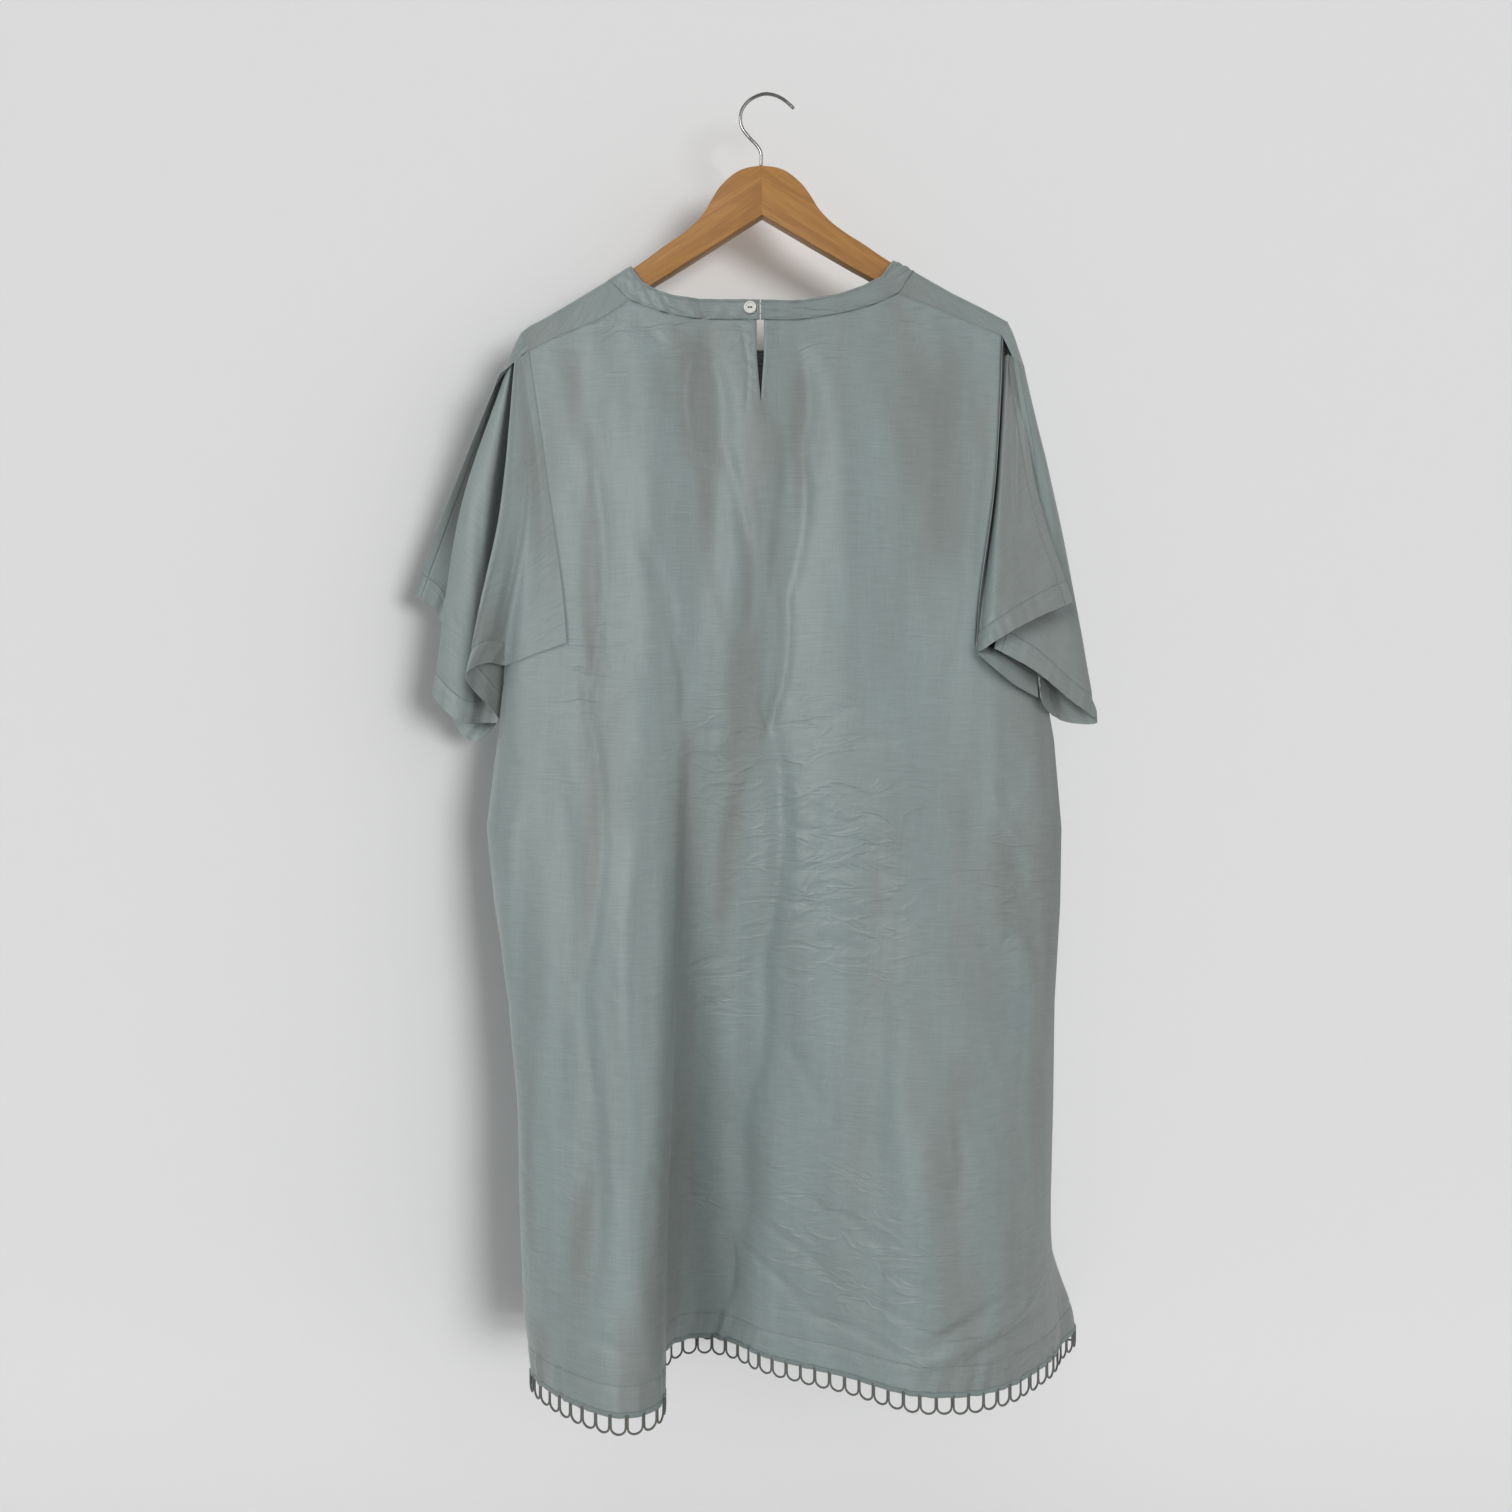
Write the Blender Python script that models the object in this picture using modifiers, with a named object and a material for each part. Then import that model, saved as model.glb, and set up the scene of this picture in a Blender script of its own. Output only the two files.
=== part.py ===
"""Tunic dress with split sleeves, hung on a wooden hanger and seen from its buttoned back.

World frame in metres, +Z up. The origin is the inner top of the hanger's hook. The back of the dress
faces -Y, its front faces +Y, and its wearer's right is +X. The tables are in centimetres, as a cutter
measures, and a depth is a distance straight down from the origin.
"""

import math

import bmesh
import bpy
import numpy as np
from mathutils import Matrix

CM = 0.01
NAME = "tunic_dress"

# Cloth
WALL = 0.1
SEAM_GAP = 0.03
SIDE_SEAM_SPARE = 0.01
MERGE_DISTANCE = 0.00001
HEM_DEPTH = 114.7
LEVELS = (22.0, 35.0, 51.0, HEM_DEPTH)
COLUMNS_PER_LINE = 2
UPPER_ROWS = 7
LOWER_ROWS = 11

# Each row is a line of the cloth that runs down the back, from the left side seam to the right one.
# Its (x, y) stands at four levels: the yoke, the chest, the underarm and the hem.
BACK_LINES = (
    # line                   yoke            chest           underarm        hem
    ("left side seam",       (-23.8, -0.1),  (-23.8, -0.1),  (-23.8, -0.1),  (-21.0, 0.5)),
    ("left side",            (-22.4, -1.6),  (-22.4, -1.6),  (-22.4, -1.6),  (-20.4, -4.8)),
    ("left armhole",         (-21.9, -0.9),  (-19.9, -1.6),  (-17.9, -2.4),  (-16.3, -9.2)),
    ("left ridge",           (-16.5, -1.2),  (-15.6, -2.0),  (-13.7, -3.3),  (-12.2, -11.3)),
    ("fold shoulder",        (-12.4, -1.5),  (-11.2, -3.0),  (-10.4, -3.7),  (-9.4, -10.2)),
    ("fold edge",            (-9.0, -1.6),   (-8.8, -2.9),   (-8.1, -3.3),   (-8.8, -7.2)),
    ("fold flank",           (-6.6, -1.6),   (-6.6, -2.5),   (-6.4, -2.9),   (-9.6, -2.2)),
    ("valley left",          (-4.9, -1.5),   (-4.6, -2.2),   (-4.9, -3.0),   (-8.4, 1.4)),
    ("valley floor",         (-2.6, -1.7),   (-2.2, -2.8),   (-3.2, -3.3),   (-5.6, 2.4)),
    ("valley right",         (-0.7, -1.8),   (0.2, -3.0),    (-0.9, -2.9),   (-2.9, 1.2)),
    ("centre trough",        (3.0, -1.5),    (2.6, -2.1),    (1.3, -2.7),    (0.3, -1.6)),
    ("right rise",           (7.4, -1.7),    (6.8, -3.1),    (7.4, -3.8),    (6.9, -4.8)),
    ("right ridge",          (11.9, -1.5),   (12.2, -2.8),   (13.2, -3.6),   (12.2, -7.8)),
    ("right blade",          (16.8, -1.2),   (16.8, -2.4),   (16.4, -3.2),   (16.8, -8.0)),
    ("right armhole",        (21.4, -0.9),   (20.6, -1.6),   (18.7, -2.6),   (20.9, -6.4)),
    ("right side",           (22.4, -1.3),   (22.4, -1.3),   (22.4, -1.3),   (24.6, -2.8)),
    ("right side seam",      (24.6, -0.1),   (24.6, -0.1),   (24.6, -0.1),   (26.2, 0.5)),
)
BACK_ARMHOLES = (2, 14)
BACK_NECK = (4, 12)
SLIT_LINES = (8, 9)
SIDE_LINES = 2

# The front hangs nearer the wall, in shallow folds.
FRONT_LINES = (
    ("left side seam",       (-23.8, -0.1),  (-23.8, -0.1),  (-23.8, -0.1),  (-21.0, 0.5)),
    ("left side",            (-22.6, 1.3),   (-22.6, 1.3),   (-22.6, 1.3),   (-20.2, 3.4)),
    ("left armhole",         (-22.2, 0.9),   (-20.0, 1.5),   (-18.2, 2.1),   (-16.4, 4.6)),
    ("left fold",            (-18.2, 1.0),   (-16.2, 1.9),   (-14.5, 2.5),   (-12.4, 5.2)),
    ("left neck",            (-14.2, 1.1),   (-12.2, 2.1),   (-10.6, 2.9),   (-8.4, 5.4)),
    ("left breast",          (-8.5, 1.3),    (-7.2, 2.5),    (-6.0, 3.1),    (-3.8, 4.7)),
    ("left of centre",       (-3.0, 1.4),    (-2.5, 2.4),    (-1.4, 2.6),    (0.8, 4.9)),
    ("right of centre",      (2.5, 1.4),     (2.5, 2.5),     (3.3, 2.9),     (5.4, 5.5)),
    ("right breast",         (8.0, 1.3),     (7.6, 2.3),     (8.2, 2.6),     (10.3, 4.9)),
    ("right neck",           (13.3, 1.1),    (12.4, 2.1),    (12.8, 2.8),    (15.4, 5.3)),
    ("right fold",           (17.6, 1.0),    (16.6, 1.8),    (16.2, 2.3),    (20.2, 4.8)),
    ("right armhole",        (21.9, 0.9),    (20.4, 1.5),    (18.9, 2.1),    (24.0, 4.6)),
    ("right side",           (22.7, 1.4),    (22.7, 1.4),    (22.7, 1.4),    (26.2, 3.2)),
    ("right side seam",      (24.6, -0.1),   (24.6, -0.1),   (24.6, -0.1),   (26.2, 0.5)),
)
FRONT_ARMHOLES = (2, 11)
FRONT_NECK = (4, 9)

# The front swings out past the right side seam just above the hem.
FLARE_START = 103.0
FLARE_OUT = 3.0
FLARE_BACK = 1.2
FLARE_LINE = 12
FLARE_REACH = 1.6

# How far the sides stand from the centre, down the body
SIDE_OUTLINE = (
    # depth, left x, right x
    (52.2, -23.8, 24.6),
    (55.0, -24.2, 25.6),
    (59.0, -24.6, 26.3),
    (67.0, -25.6, 27.0),
    (74.0, -24.9, 26.9),
    (83.0, -23.5, 26.4),
    (92.0, -22.7, 26.3),
    (101.0, -22.4, 26.1),
    (110.0, -21.9, 26.1),
    (HEM_DEPTH, -21.0, 26.2),
)
SIDE_REACH = 3.0

# Depth of the square-cut underarm, for each back line that it passes
BACK_UNDERARM = (
    # line number, depth
    (0, 52.3),
    (1, 51.9),
    (2, 50.3),
    (8, 51.0),
    (14, 50.4),
    (15, 51.4),
    (16, 52.1),
)
FRONT_UNDERARM = (
    (0, 52.3),
    (1, 51.7),
    (2, 50.4),
    (6, 51.0),
    (11, 50.4),
    (12, 51.3),
    (13, 52.1),
)

# Top edge of the back: left shoulder seam, neck band seam, right shoulder seam
BACK_TOP = (
    # x, depth
    (-21.9, 23.6),
    (-18.8, 22.2),
    (-15.1, 20.8),
    (-12.4, 19.1),
    (-11.0, 19.7),
    (-9.2, 20.4),
    (-6.8, 20.9),
    (-1.0, 21.1),
    (3.1, 21.0),
    (7.2, 20.4),
    (9.6, 19.7),
    (11.9, 18.5),
    (16.8, 20.3),
    (19.4, 21.4),
    (21.4, 22.2),
)
FRONT_TOP = (
    (-14.2, 18.0),
    (-13.2, 19.6),
    (-11.6, 21.6),
    (-8.5, 23.6),
    (-4.6, 24.6),
    (-0.5, 24.8),
    (3.7, 24.6),
    (8.0, 23.4),
    (10.9, 21.4),
    (12.4, 19.4),
    (13.3, 17.2),
)

# Top outline of the shoulders, where the cloth lies over the hanger
RIDGE = (
    # x, depth
    (-24.0, 23.8),
    (-22.6, 21.95),
    (-21.7, 21.2),
    (-20.3, 20.5),
    (-17.1, 18.6),
    (-12.9, 16.05),
    (-10.0, 14.3),
    (10.0, 14.3),
    (11.8, 15.3),
    (13.3, 16.1),
    (16.8, 18.1),
    (20.0, 19.7),
    (22.3, 20.95),
    (24.0, 23.4),
)
RIDGE_RADIUS = 0.8
RIDGE_SETTLE = 6.0

# Where each armhole and each neck seam crosses the top of the shoulder, as x
LEFT_CROSSING = {"armhole": -22.4, "seam": -14.4, "edge": -12.4}
RIGHT_CROSSING = {"armhole": 22.0, "seam": 13.4, "edge": 11.6}

# Neck edge of the band, for each place along its seam
BACK_BAND = (
    # seam x, edge x, edge depth
    (-12.4, -11.3, 17.4),
    (-11.0, -10.2, 18.2),
    (-9.2, -8.7, 18.8),
    (-6.8, -6.6, 19.15),
    (-1.0, -1.0, 19.35),
    (3.1, 3.0, 19.3),
    (7.2, 6.6, 18.75),
    (9.6, 8.6, 18.0),
    (11.9, 10.4, 17.0),
)
FRONT_BAND = (
    (-14.2, -12.2, 17.0),
    (-13.2, -11.3, 18.8),
    (-11.6, -9.9, 20.4),
    (-8.5, -7.4, 21.9),
    (-4.6, -4.0, 22.6),
    (-0.5, -0.5, 22.8),
    (3.7, 3.2, 22.6),
    (8.0, 6.8, 21.7),
    (10.9, 9.1, 20.2),
    (12.4, 10.6, 18.6),
    (13.3, 11.3, 16.6),
)
BAND_END_LEFT = -0.85
BAND_END_RIGHT = -0.35

# Keyhole slit below the band
SLIT_OUTLINE = (
    # x, depth
    (-0.90, 19.5),
    (-0.25, 19.5),
    (-0.25, 24.5),
    (-0.45, 28.2),
    (-0.55, 28.2),
    (-0.90, 24.5),
)

SLIT_CUT_DEPTH = 6.0

# Sleeves. Each row is a line from the shoulder to the sleeve's lower edge, given at its top, middle
# and foot. The first line is the armhole seam, which follows its panel, and has no row.
LEFT_BACK_SLEEVE = (
    # line             top                      middle                   foot
    ("seam end",       (-22.1, -0.97, -24.1),   (-20.9, -1.9, -37.9),    (-22.4, -1.6, -51.9)),
    ("underarm",       (-22.3, -1.0, -24.2),    (-22.0, -2.2, -38.3),    (-24.0, -0.45, -52.2)),
    ("arch",           (-22.5, -1.05, -24.3),   (-23.0, -2.5, -38.4),    (-25.3, -2.0, -52.1)),
    ("near fold",      (-22.8, -1.1, -24.4),    (-23.9, -2.5, -38.6),    (-26.8, -2.9, -53.5)),
    ("hidden fold",    (-22.9, -0.8, -24.6),    (-23.5, -0.7, -39.0),    (-25.2, 0.2, -57.0)),
    ("outer strip",    (-23.2, -0.75, -24.9),   (-25.5, -1.1, -39.0),    (-27.9, -1.0, -57.3)),
    ("outer fold",     (-23.7, -0.5, -25.3),    (-27.9, -0.5, -38.2),    (-30.4, -0.3, -55.0)),
    ("slit edge",      (-23.6, 0.0, -25.5),     (-27.0, 0.55, -37.6),    (-29.3, 0.9, -54.0)),
)
LEFT_FRONT_SLEEVE = (
    ("seam middle",    (-22.6, 0.75, -22.9),    (-21.4, 1.9, -38.0),     (-22.6, 1.3, -51.8)),
    ("underarm",       (-23.0, 0.7, -23.3),     (-22.7, 2.0, -38.5),     (-24.0, 0.0, -52.2)),
    ("inner foot",     (-23.3, 0.65, -23.7),    (-23.8, 2.1, -39.0),     (-24.6, 1.3, -55.6)),
    ("foot",           (-23.6, 0.6, -24.1),     (-24.9, 2.1, -39.3),     (-25.4, 1.6, -57.8)),
    ("lowest point",   (-23.8, 0.5, -24.4),     (-26.0, 2.1, -39.3),     (-27.6, 1.8, -59.0)),
    ("outer foot",     (-24.0, 0.35, -24.7),    (-27.2, 2.1, -38.8),     (-29.7, 2.1, -55.8)),
    ("far hem",        (-24.2, 0.15, -25.0),    (-28.2, 2.1, -37.6),     (-30.4, 2.2, -47.8)),
    ("slit edge",      (-24.3, -0.2, -25.4),    (-29.4, 1.3, -36.7),     (-32.8, 1.9, -45.4)),
)
RIGHT_BACK_SLEEVE = (
    ("crevice",        (22.1, -0.85, -23.9),    (21.0, -1.2, -37.2),     (18.85, -3.65, -51.25)),
    ("near fold",      (22.3, -1.15, -24.0),    (21.3, -2.2, -37.5),     (19.2, -4.05, -51.0)),
    ("panel",          (22.5, -1.2, -24.1),     (22.3, -2.6, -37.5),     (21.2, -4.5, -49.7)),
    ("outer panel",    (22.8, -1.2, -24.2),     (23.4, -2.6, -37.2),     (24.0, -4.1, -48.2)),
    ("slit edge",      (23.1, -1.1, -24.3),     (24.5, -2.3, -37.1),     (27.1, -3.2, -46.8)),
)
# The strip of the right back sleeve below its armhole, from the near fold to the underarm seam
RIGHT_STRIP_HEM = (
    (18.8, -3.3, -51.45),
    (20.3, -3.2, -52.7),
    (21.9, -2.6, -53.9),
    (23.2, -2.1, -54.6),
    (24.45, -1.75, -55.2),
)
STRIP_ROWS = 2
STRIP_SHARE = 0.94
STRIP_STAND_OFF = 0.24
STRIP_ASIDE = 0.08
RIGHT_FRONT_SLEEVE = (
    ("seam middle",    (22.4, 0.75, -22.2),     (21.6, 1.8, -38.0),      (22.7, 1.4, -51.4)),
    ("underarm",       (22.8, 0.7, -22.5),      (22.8, 1.8, -38.5),      (24.85, -0.35, -51.95)),
    ("inner foot",     (23.2, 0.6, -22.9),      (24.3, 1.1, -39.0),      (24.75, -1.65, -55.3)),
    ("foot",           (23.6, 0.5, -23.3),      (25.6, 1.4, -39.2),      (27.0, -0.1, -57.2)),
    ("outer fold",     (23.9, 0.2, -23.9),      (26.9, 0.4, -39.0),      (30.1, -0.6, -57.4)),
    ("near wing",      (23.9, -0.3, -24.1),     (26.1, -0.9, -38.5),     (27.2, -1.8, -55.3)),
    ("near inner",     (23.7, -0.6, -24.2),     (25.0, -1.1, -38.0),     (24.5, -2.4, -53.2)),
    ("slit edge",      (23.5, -0.7, -24.3),     (23.9, -1.2, -37.6),     (22.0, -3.2, -51.5)),
)

# Loop trim along the hem
TRIM_LOOPS = {"back": 54, "front": 44}
TRIM_WALL = 0.16
TRIM_OUTER = (
    # share of a loop's width, drop below the hem
    (0.0, 0.0),
    (1.0, 0.0),
    (1.0, 0.95),
    (0.82, 1.42),
    (0.5, 1.62),
    (0.18, 1.42),
    (0.0, 0.95),
)
TRIM_INNER = (
    (0.1, 0.3),
    (0.9, 0.3),
    (0.9, 0.95),
    (0.75, 1.24),
    (0.5, 1.38),
    (0.25, 1.24),
    (0.1, 0.95),
)

# Hanger
HANGER_X = -0.5
HANGER_THICKNESS = 1.15
HANGER_ROUNDING = 0.4
JOINT_REACH = 0.2
HANGER_TILT = math.radians(1.1)
HANGER_PIVOT_DEPTH = 6.5
HANGER_TOP = (
    # distance from the centre, depth
    (0.0, 6.55),
    (1.6, 6.75),
    (2.8, 7.3),
    (4.1, 8.4),
    (4.8, 9.5),
    (5.4, 10.6),
    (6.4, 11.7),
    (7.7, 12.8),
    (9.3, 13.95),
    (11.9, 15.75),
    (20.0, 20.75),
    (20.9, 21.4),
    (21.3, 22.1),
)
HANGER_UNDER = (
    (21.2, 22.9),
    (20.6, 23.4),
    (19.8, 23.3),
    (10.4, 17.4),
    (8.3, 16.2),
    (4.4, 13.85),
    (2.3, 12.55),
    (0.0, 11.15),
)
WIRE_RADIUS = 0.175
HOOK_ROUTE = (
    # x, z of the wire's centre
    (-0.5, -6.52),
    (-0.5, -5.3),
    (-0.85, -4.6),
    (-1.6, -3.8),
    (-2.2, -3.0),
    (-2.4, -2.1),
    (-2.2, -1.2),
    (-1.6, -0.45),
    (-0.8, 0.0),
    (0.0, WIRE_RADIUS),
    (0.9, 0.0),
    (1.7, -0.45),
    (2.5, -1.15),
)

# Button and its thread loop
BUTTON_AT = (-1.5, -20.1)
BUTTON_RADIUS = 0.58
BUTTON_THICKNESS = 0.24
BUTTON_PROFILE = (
    # radius, rise from its back, down the outer side
    (0.0, 0.16),
    (BUTTON_RADIUS - 0.18, 0.16),
    (BUTTON_RADIUS - 0.10, BUTTON_THICKNESS),
    (BUTTON_RADIUS, 0.18),
    (BUTTON_RADIUS, 0.06),
    (BUTTON_RADIUS - 0.12, 0.0),
    (0.0, 0.0),
)
BUTTON_STEPS = 24
BUTTON_HOLE_RADIUS = 0.08
BUTTON_HOLE_SPACING = 0.2
LOOP_CORD_RADIUS = 0.05
LOOP_ROUTE = (
    # x, z
    (-0.30, -19.80),
    (-0.60, -19.72),
    (-0.79, -19.92),
    (-0.82, -20.20),
    (-0.74, -20.48),
    (-0.56, -20.62),
    (-0.30, -20.60),
)

# Finishes: colour, roughness, metallic
FINISHES = {
    "silk": ((0.33, 0.42, 0.42), 0.42, 0.0),
    "silk_band": ((0.31, 0.39, 0.39), 0.45, 0.0),
    "trim_cord": ((0.25, 0.31, 0.29), 0.7, 0.0),
    "wood": ((0.52, 0.30, 0.12), 0.45, 0.0),
    "chrome": ((0.72, 0.72, 0.72), 0.2, 1.0),
    "shell": ((0.85, 0.84, 0.80), 0.3, 0.0),
    "thread": ((0.35, 0.42, 0.40), 0.8, 0.0),
}


def smooth(knots, rows, t):
    """The smooth curve through rows at the knots, read at t."""
    rows = np.asarray(rows, dtype=float)
    last = len(knots) - 1
    k = 0
    while k < last - 1 and t > knots[k + 1]:
        k += 1
    span = knots[k + 1] - knots[k]
    f = min(max((t - knots[k]) / span, 0.0), 1.0)

    def slope(i):
        a, b = max(i - 1, 0), min(i + 1, last)
        return (rows[b] - rows[a]) / (knots[b] - knots[a])

    f2, f3 = f * f, f * f * f
    return (
        rows[k] * (2 * f3 - 3 * f2 + 1)
        + slope(k) * span * (f3 - 2 * f2 + f)
        + rows[k + 1] * (3 * f2 - 2 * f3)
        + slope(k + 1) * span * (f3 - f2)
    )


def between(table, t):
    """Straight interpolation of a table's other columns at t in its first column."""
    xs = [row[0] for row in table]
    values = [np.interp(t, xs, [row[c] for row in table]) for c in range(1, len(table[0]))]
    return values[0] if len(values) == 1 else values


def ease(t):
    t = min(max(t, 0.0), 1.0)
    return t * t * (3 - 2 * t)


def line_table(lines):
    """The lines' (x, y) as an array of level, line, coordinate."""
    return np.array([[row[1 + level] for row in lines] for level in range(len(LEVELS))])


BACK = line_table(BACK_LINES)
FRONT = line_table(FRONT_LINES)


def section_point(lines, s, depth):
    """The cloth's (x, y) at line number s and a depth."""
    row = smooth(LEVELS, lines, depth)
    x, y = smooth(range(len(row)), row, s)
    last = len(row) - 1
    if depth > SIDE_OUTLINE[0][0]:
        left, right = between(SIDE_OUTLINE, depth)
        x += (left - row[0][0]) * ease(1 - s / SIDE_REACH)
        x += (right - row[last][0]) * ease(1 - (last - s) / SIDE_REACH)
    if lines is FRONT:
        share = ease((depth - FLARE_START) / (HEM_DEPTH - FLARE_START))
        share *= ease(1 - abs(s - FLARE_LINE) / FLARE_REACH)
        x += FLARE_OUT * share
        y += FLARE_BACK * share
    return x, y


def panel_depth(lines, x, depth):
    """How far the panel stands from the hanger's plane at x, above the underarm."""
    low, high = 2.0, len(lines[0]) - 3.0
    for _ in range(30):
        middle = (low + high) / 2
        if section_point(lines, middle, depth)[0] < x:
            low = middle
        else:
            high = middle
    return abs(section_point(lines, low, depth)[1])


def draped(x, drop, side):
    """A point of the shoulder cloth, a drop below its ridge; side is -1 behind, 1 in front."""
    ridge = between(RIDGE, x)
    depth = ridge + drop
    lines = BACK if side < 0 else FRONT
    short = max(RIDGE_RADIUS - max(drop, 0.0), 0.0)
    round_off = math.sqrt(RIDGE_RADIUS**2 - short**2)
    out = panel_depth(lines, x, max(depth, LEVELS[0])) - RIDGE_RADIUS
    y = round_off + out * ease(drop / RIDGE_SETTLE)
    return np.array((x, side * y, -depth))


def on_panel(lines, s, depth):
    """A point of a panel, which lies closer to the hanger near the shoulder's ridge."""
    x, y = section_point(lines, s, depth)
    drop = depth - between(RIDGE, x)
    if depth < LEVELS[1] and drop < RIDGE_SETTLE:
        return draped(x, drop, -1 if lines is BACK else 1)
    return np.array((x, y, -depth))


def steps(first, last, count):
    return [first + (last - first) * k / count for k in range(count + 1)]


def panel_rows(lines, columns, armholes, top, underarm):
    """A panel's points, a list for each row: the rows above the underarm, then those below."""
    rows = [[] for _ in range(UPPER_ROWS + LOWER_ROWS + 1)]
    for s in columns:
        under = between(underarm, s)
        inside = min(max(s, armholes[0]), armholes[1])
        start = top(inside)
        depths = steps(start, under, UPPER_ROWS) + steps(under, HEM_DEPTH, LOWER_ROWS)[1:]
        for row, depth in zip(rows, depths):
            row.append(on_panel(lines, s, depth))
    return rows


def back_top(s):
    x = section_point(BACK, s, LEVELS[0])[0]
    return between(BACK_TOP, x)


def front_top(s):
    x = section_point(FRONT, s, LEVELS[0])[0]
    if FRONT_NECK[0] <= s <= FRONT_NECK[1]:
        return between(FRONT_TOP, x)
    return between(RIDGE, x) + RIDGE_RADIUS


BACK_COLUMNS = steps(0, len(BACK_LINES) - 1, (len(BACK_LINES) - 1) * COLUMNS_PER_LINE)
FRONT_COLUMNS = steps(0, len(FRONT_LINES) - 1, (len(FRONT_LINES) - 1) * COLUMNS_PER_LINE)

# The rows by which the front goes over the shoulder, from the seam behind to its own side. A share is
# of the seam's drop below the ridge, and an arc is of the ridge's radius.
WRAP_ROWS = (
    # kind, amount, side
    ("share", 1.0, -1),
    ("share", 0.62, -1),
    ("arc", 1.0, -1),
    ("arc", 0.3, -1),
    ("arc", 0.0, 1),
    ("arc", 0.3, 1),
    ("arc", 0.7, 1),
)


def wrap_column(seam_point, crossing, foot):
    """Points from the shoulder seam behind, over the ridge and down to the foot point in front."""
    seam_x = seam_point[0]
    seam_drop = -seam_point[2] - between(RIDGE, seam_x)
    points = []
    for kind, amount, side in WRAP_ROWS:
        drop = amount * (seam_drop if kind == "share" else RIDGE_RADIUS)
        if side < 0:
            x = crossing + (seam_x - crossing) * drop / seam_drop
        else:
            x = crossing + (foot[0] - crossing) * drop / RIDGE_RADIUS
        points.append(draped(x, drop, side))
    return points


def mesh_object(name, vertices, faces, finish, collection):
    """An object from points in centimetres and faces."""
    mesh = bpy.data.meshes.new(name)
    mesh.from_pydata([tuple(float(c) * CM for c in v) for v in vertices], [], faces)
    mesh.materials.append(material(name, finish))
    mesh.shade_smooth()
    made = bpy.data.objects.new(name, mesh)
    collection.objects.link(made)
    return made


def material(name, finish):
    colour, roughness, metallic = FINISHES[finish]
    made = bpy.data.materials.new(name + "_finish")
    made.use_nodes = True
    shader = made.node_tree.nodes["Principled BSDF"]
    shader.inputs["Base Color"].default_value = (*colour, 1.0)
    shader.inputs["Roughness"].default_value = roughness
    shader.inputs["Metallic"].default_value = metallic
    return made


def cloth(name, rows, keep, finish, collection, folded=False):
    """A grid of points as an open sheet, given its wall by Solidify. keep(i, j) says which cells exist."""
    used, vertices, faces = {}, [], []

    def index(i, j):
        if (i, j) not in used:
            used[i, j] = len(vertices)
            vertices.append(rows[i][j])
        return used[i, j]

    for i in range(len(rows) - 1):
        for j in range(len(rows[0]) - 1):
            if keep(i, j):
                faces.append((index(i, j), index(i + 1, j), index(i + 1, j + 1), index(i, j + 1)))
    made = mesh_object(name, vertices, faces, finish, collection)
    solid = thicken(made, WALL)
    if folded:
        solid.solidify_mode = "NON_MANIFOLD"
        solid.nonmanifold_merge_threshold = MERGE_DISTANCE
    return made


def thicken(made, wall):
    solid = made.modifiers.new("wall", "SOLIDIFY")
    solid.thickness = wall * CM
    solid.offset = 0.0
    return solid


def slab(name, outline, thickness, finish, collection):
    """A flat outline of (x, z) points in centimetres, given an equal thickness either side of Y = 0."""
    curve = bpy.data.curves.new(name, "CURVE")
    curve.dimensions = "2D"
    curve.fill_mode = "BOTH"
    curve.extrude = thickness / 2 * CM
    spline = curve.splines.new("POLY")
    spline.points.add(len(outline) - 1)
    for point, (x, z) in zip(spline.points, outline):
        point.co = (x * CM, z * CM, 0.0, 1.0)
    spline.use_cyclic_u = True
    flat = bpy.data.objects.new(name, curve)
    collection.objects.link(flat)
    mesh = bpy.data.meshes.new_from_object(flat.evaluated_get(bpy.context.evaluated_depsgraph_get()))
    bpy.data.objects.remove(flat, do_unlink=True)
    bpy.data.curves.remove(curve)
    mesh.name = name
    work = bmesh.new()
    work.from_mesh(mesh)
    bmesh.ops.remove_doubles(work, verts=work.verts, dist=MERGE_DISTANCE)
    bmesh.ops.rotate(work, verts=work.verts, matrix=Matrix.Rotation(math.pi / 2, 3, "X"))
    bmesh.ops.recalc_face_normals(work, faces=work.faces)
    work.to_mesh(mesh)
    work.free()
    mesh.materials.clear()
    mesh.materials.append(material(name, finish))
    made = bpy.data.objects.new(name, mesh)
    collection.objects.link(made)
    return made


def cut_away(target, cutter):
    cut = target.modifiers.new("cut", "BOOLEAN")
    cut.operation = "DIFFERENCE"
    cut.object = cutter


def as_cutter(made, cutters):
    for home in list(made.users_collection):
        home.objects.unlink(made)
    cutters.objects.link(made)
    made.hide_render = True
    made.display_type = "WIRE"


def wire(name, route, radius, finish, collection, sides=4):
    """A round wire along points in centimetres."""
    curve = bpy.data.curves.new(name, "CURVE")
    curve.dimensions = "3D"
    curve.bevel_depth = radius * CM
    curve.bevel_resolution = sides
    curve.use_fill_caps = True
    spline = curve.splines.new("POLY")
    spline.points.add(len(route) - 1)
    for point, place in zip(spline.points, route):
        point.co = (*(float(c) * CM for c in place), 1.0)
    curve.materials.append(material(name, finish))
    made = bpy.data.objects.new(name, curve)
    collection.objects.link(made)
    return made


def back_panel(rows, collection, cutters):
    first, last = (side * COLUMNS_PER_LINE for side in BACK_ARMHOLES)

    def keep(i, j):
        return i >= UPPER_ROWS or first <= j < last

    made = cloth("back_panel", rows, keep, "silk", collection)
    slit = [(x, -depth) for x, depth in SLIT_OUTLINE]
    cutter = slab("slit_cutter", slit, SLIT_CUT_DEPTH, "silk", collection)
    cutter.location.y = -SLIT_CUT_DEPTH / 2 * CM
    as_cutter(cutter, cutters)
    cut_away(made, cutter)


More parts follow.
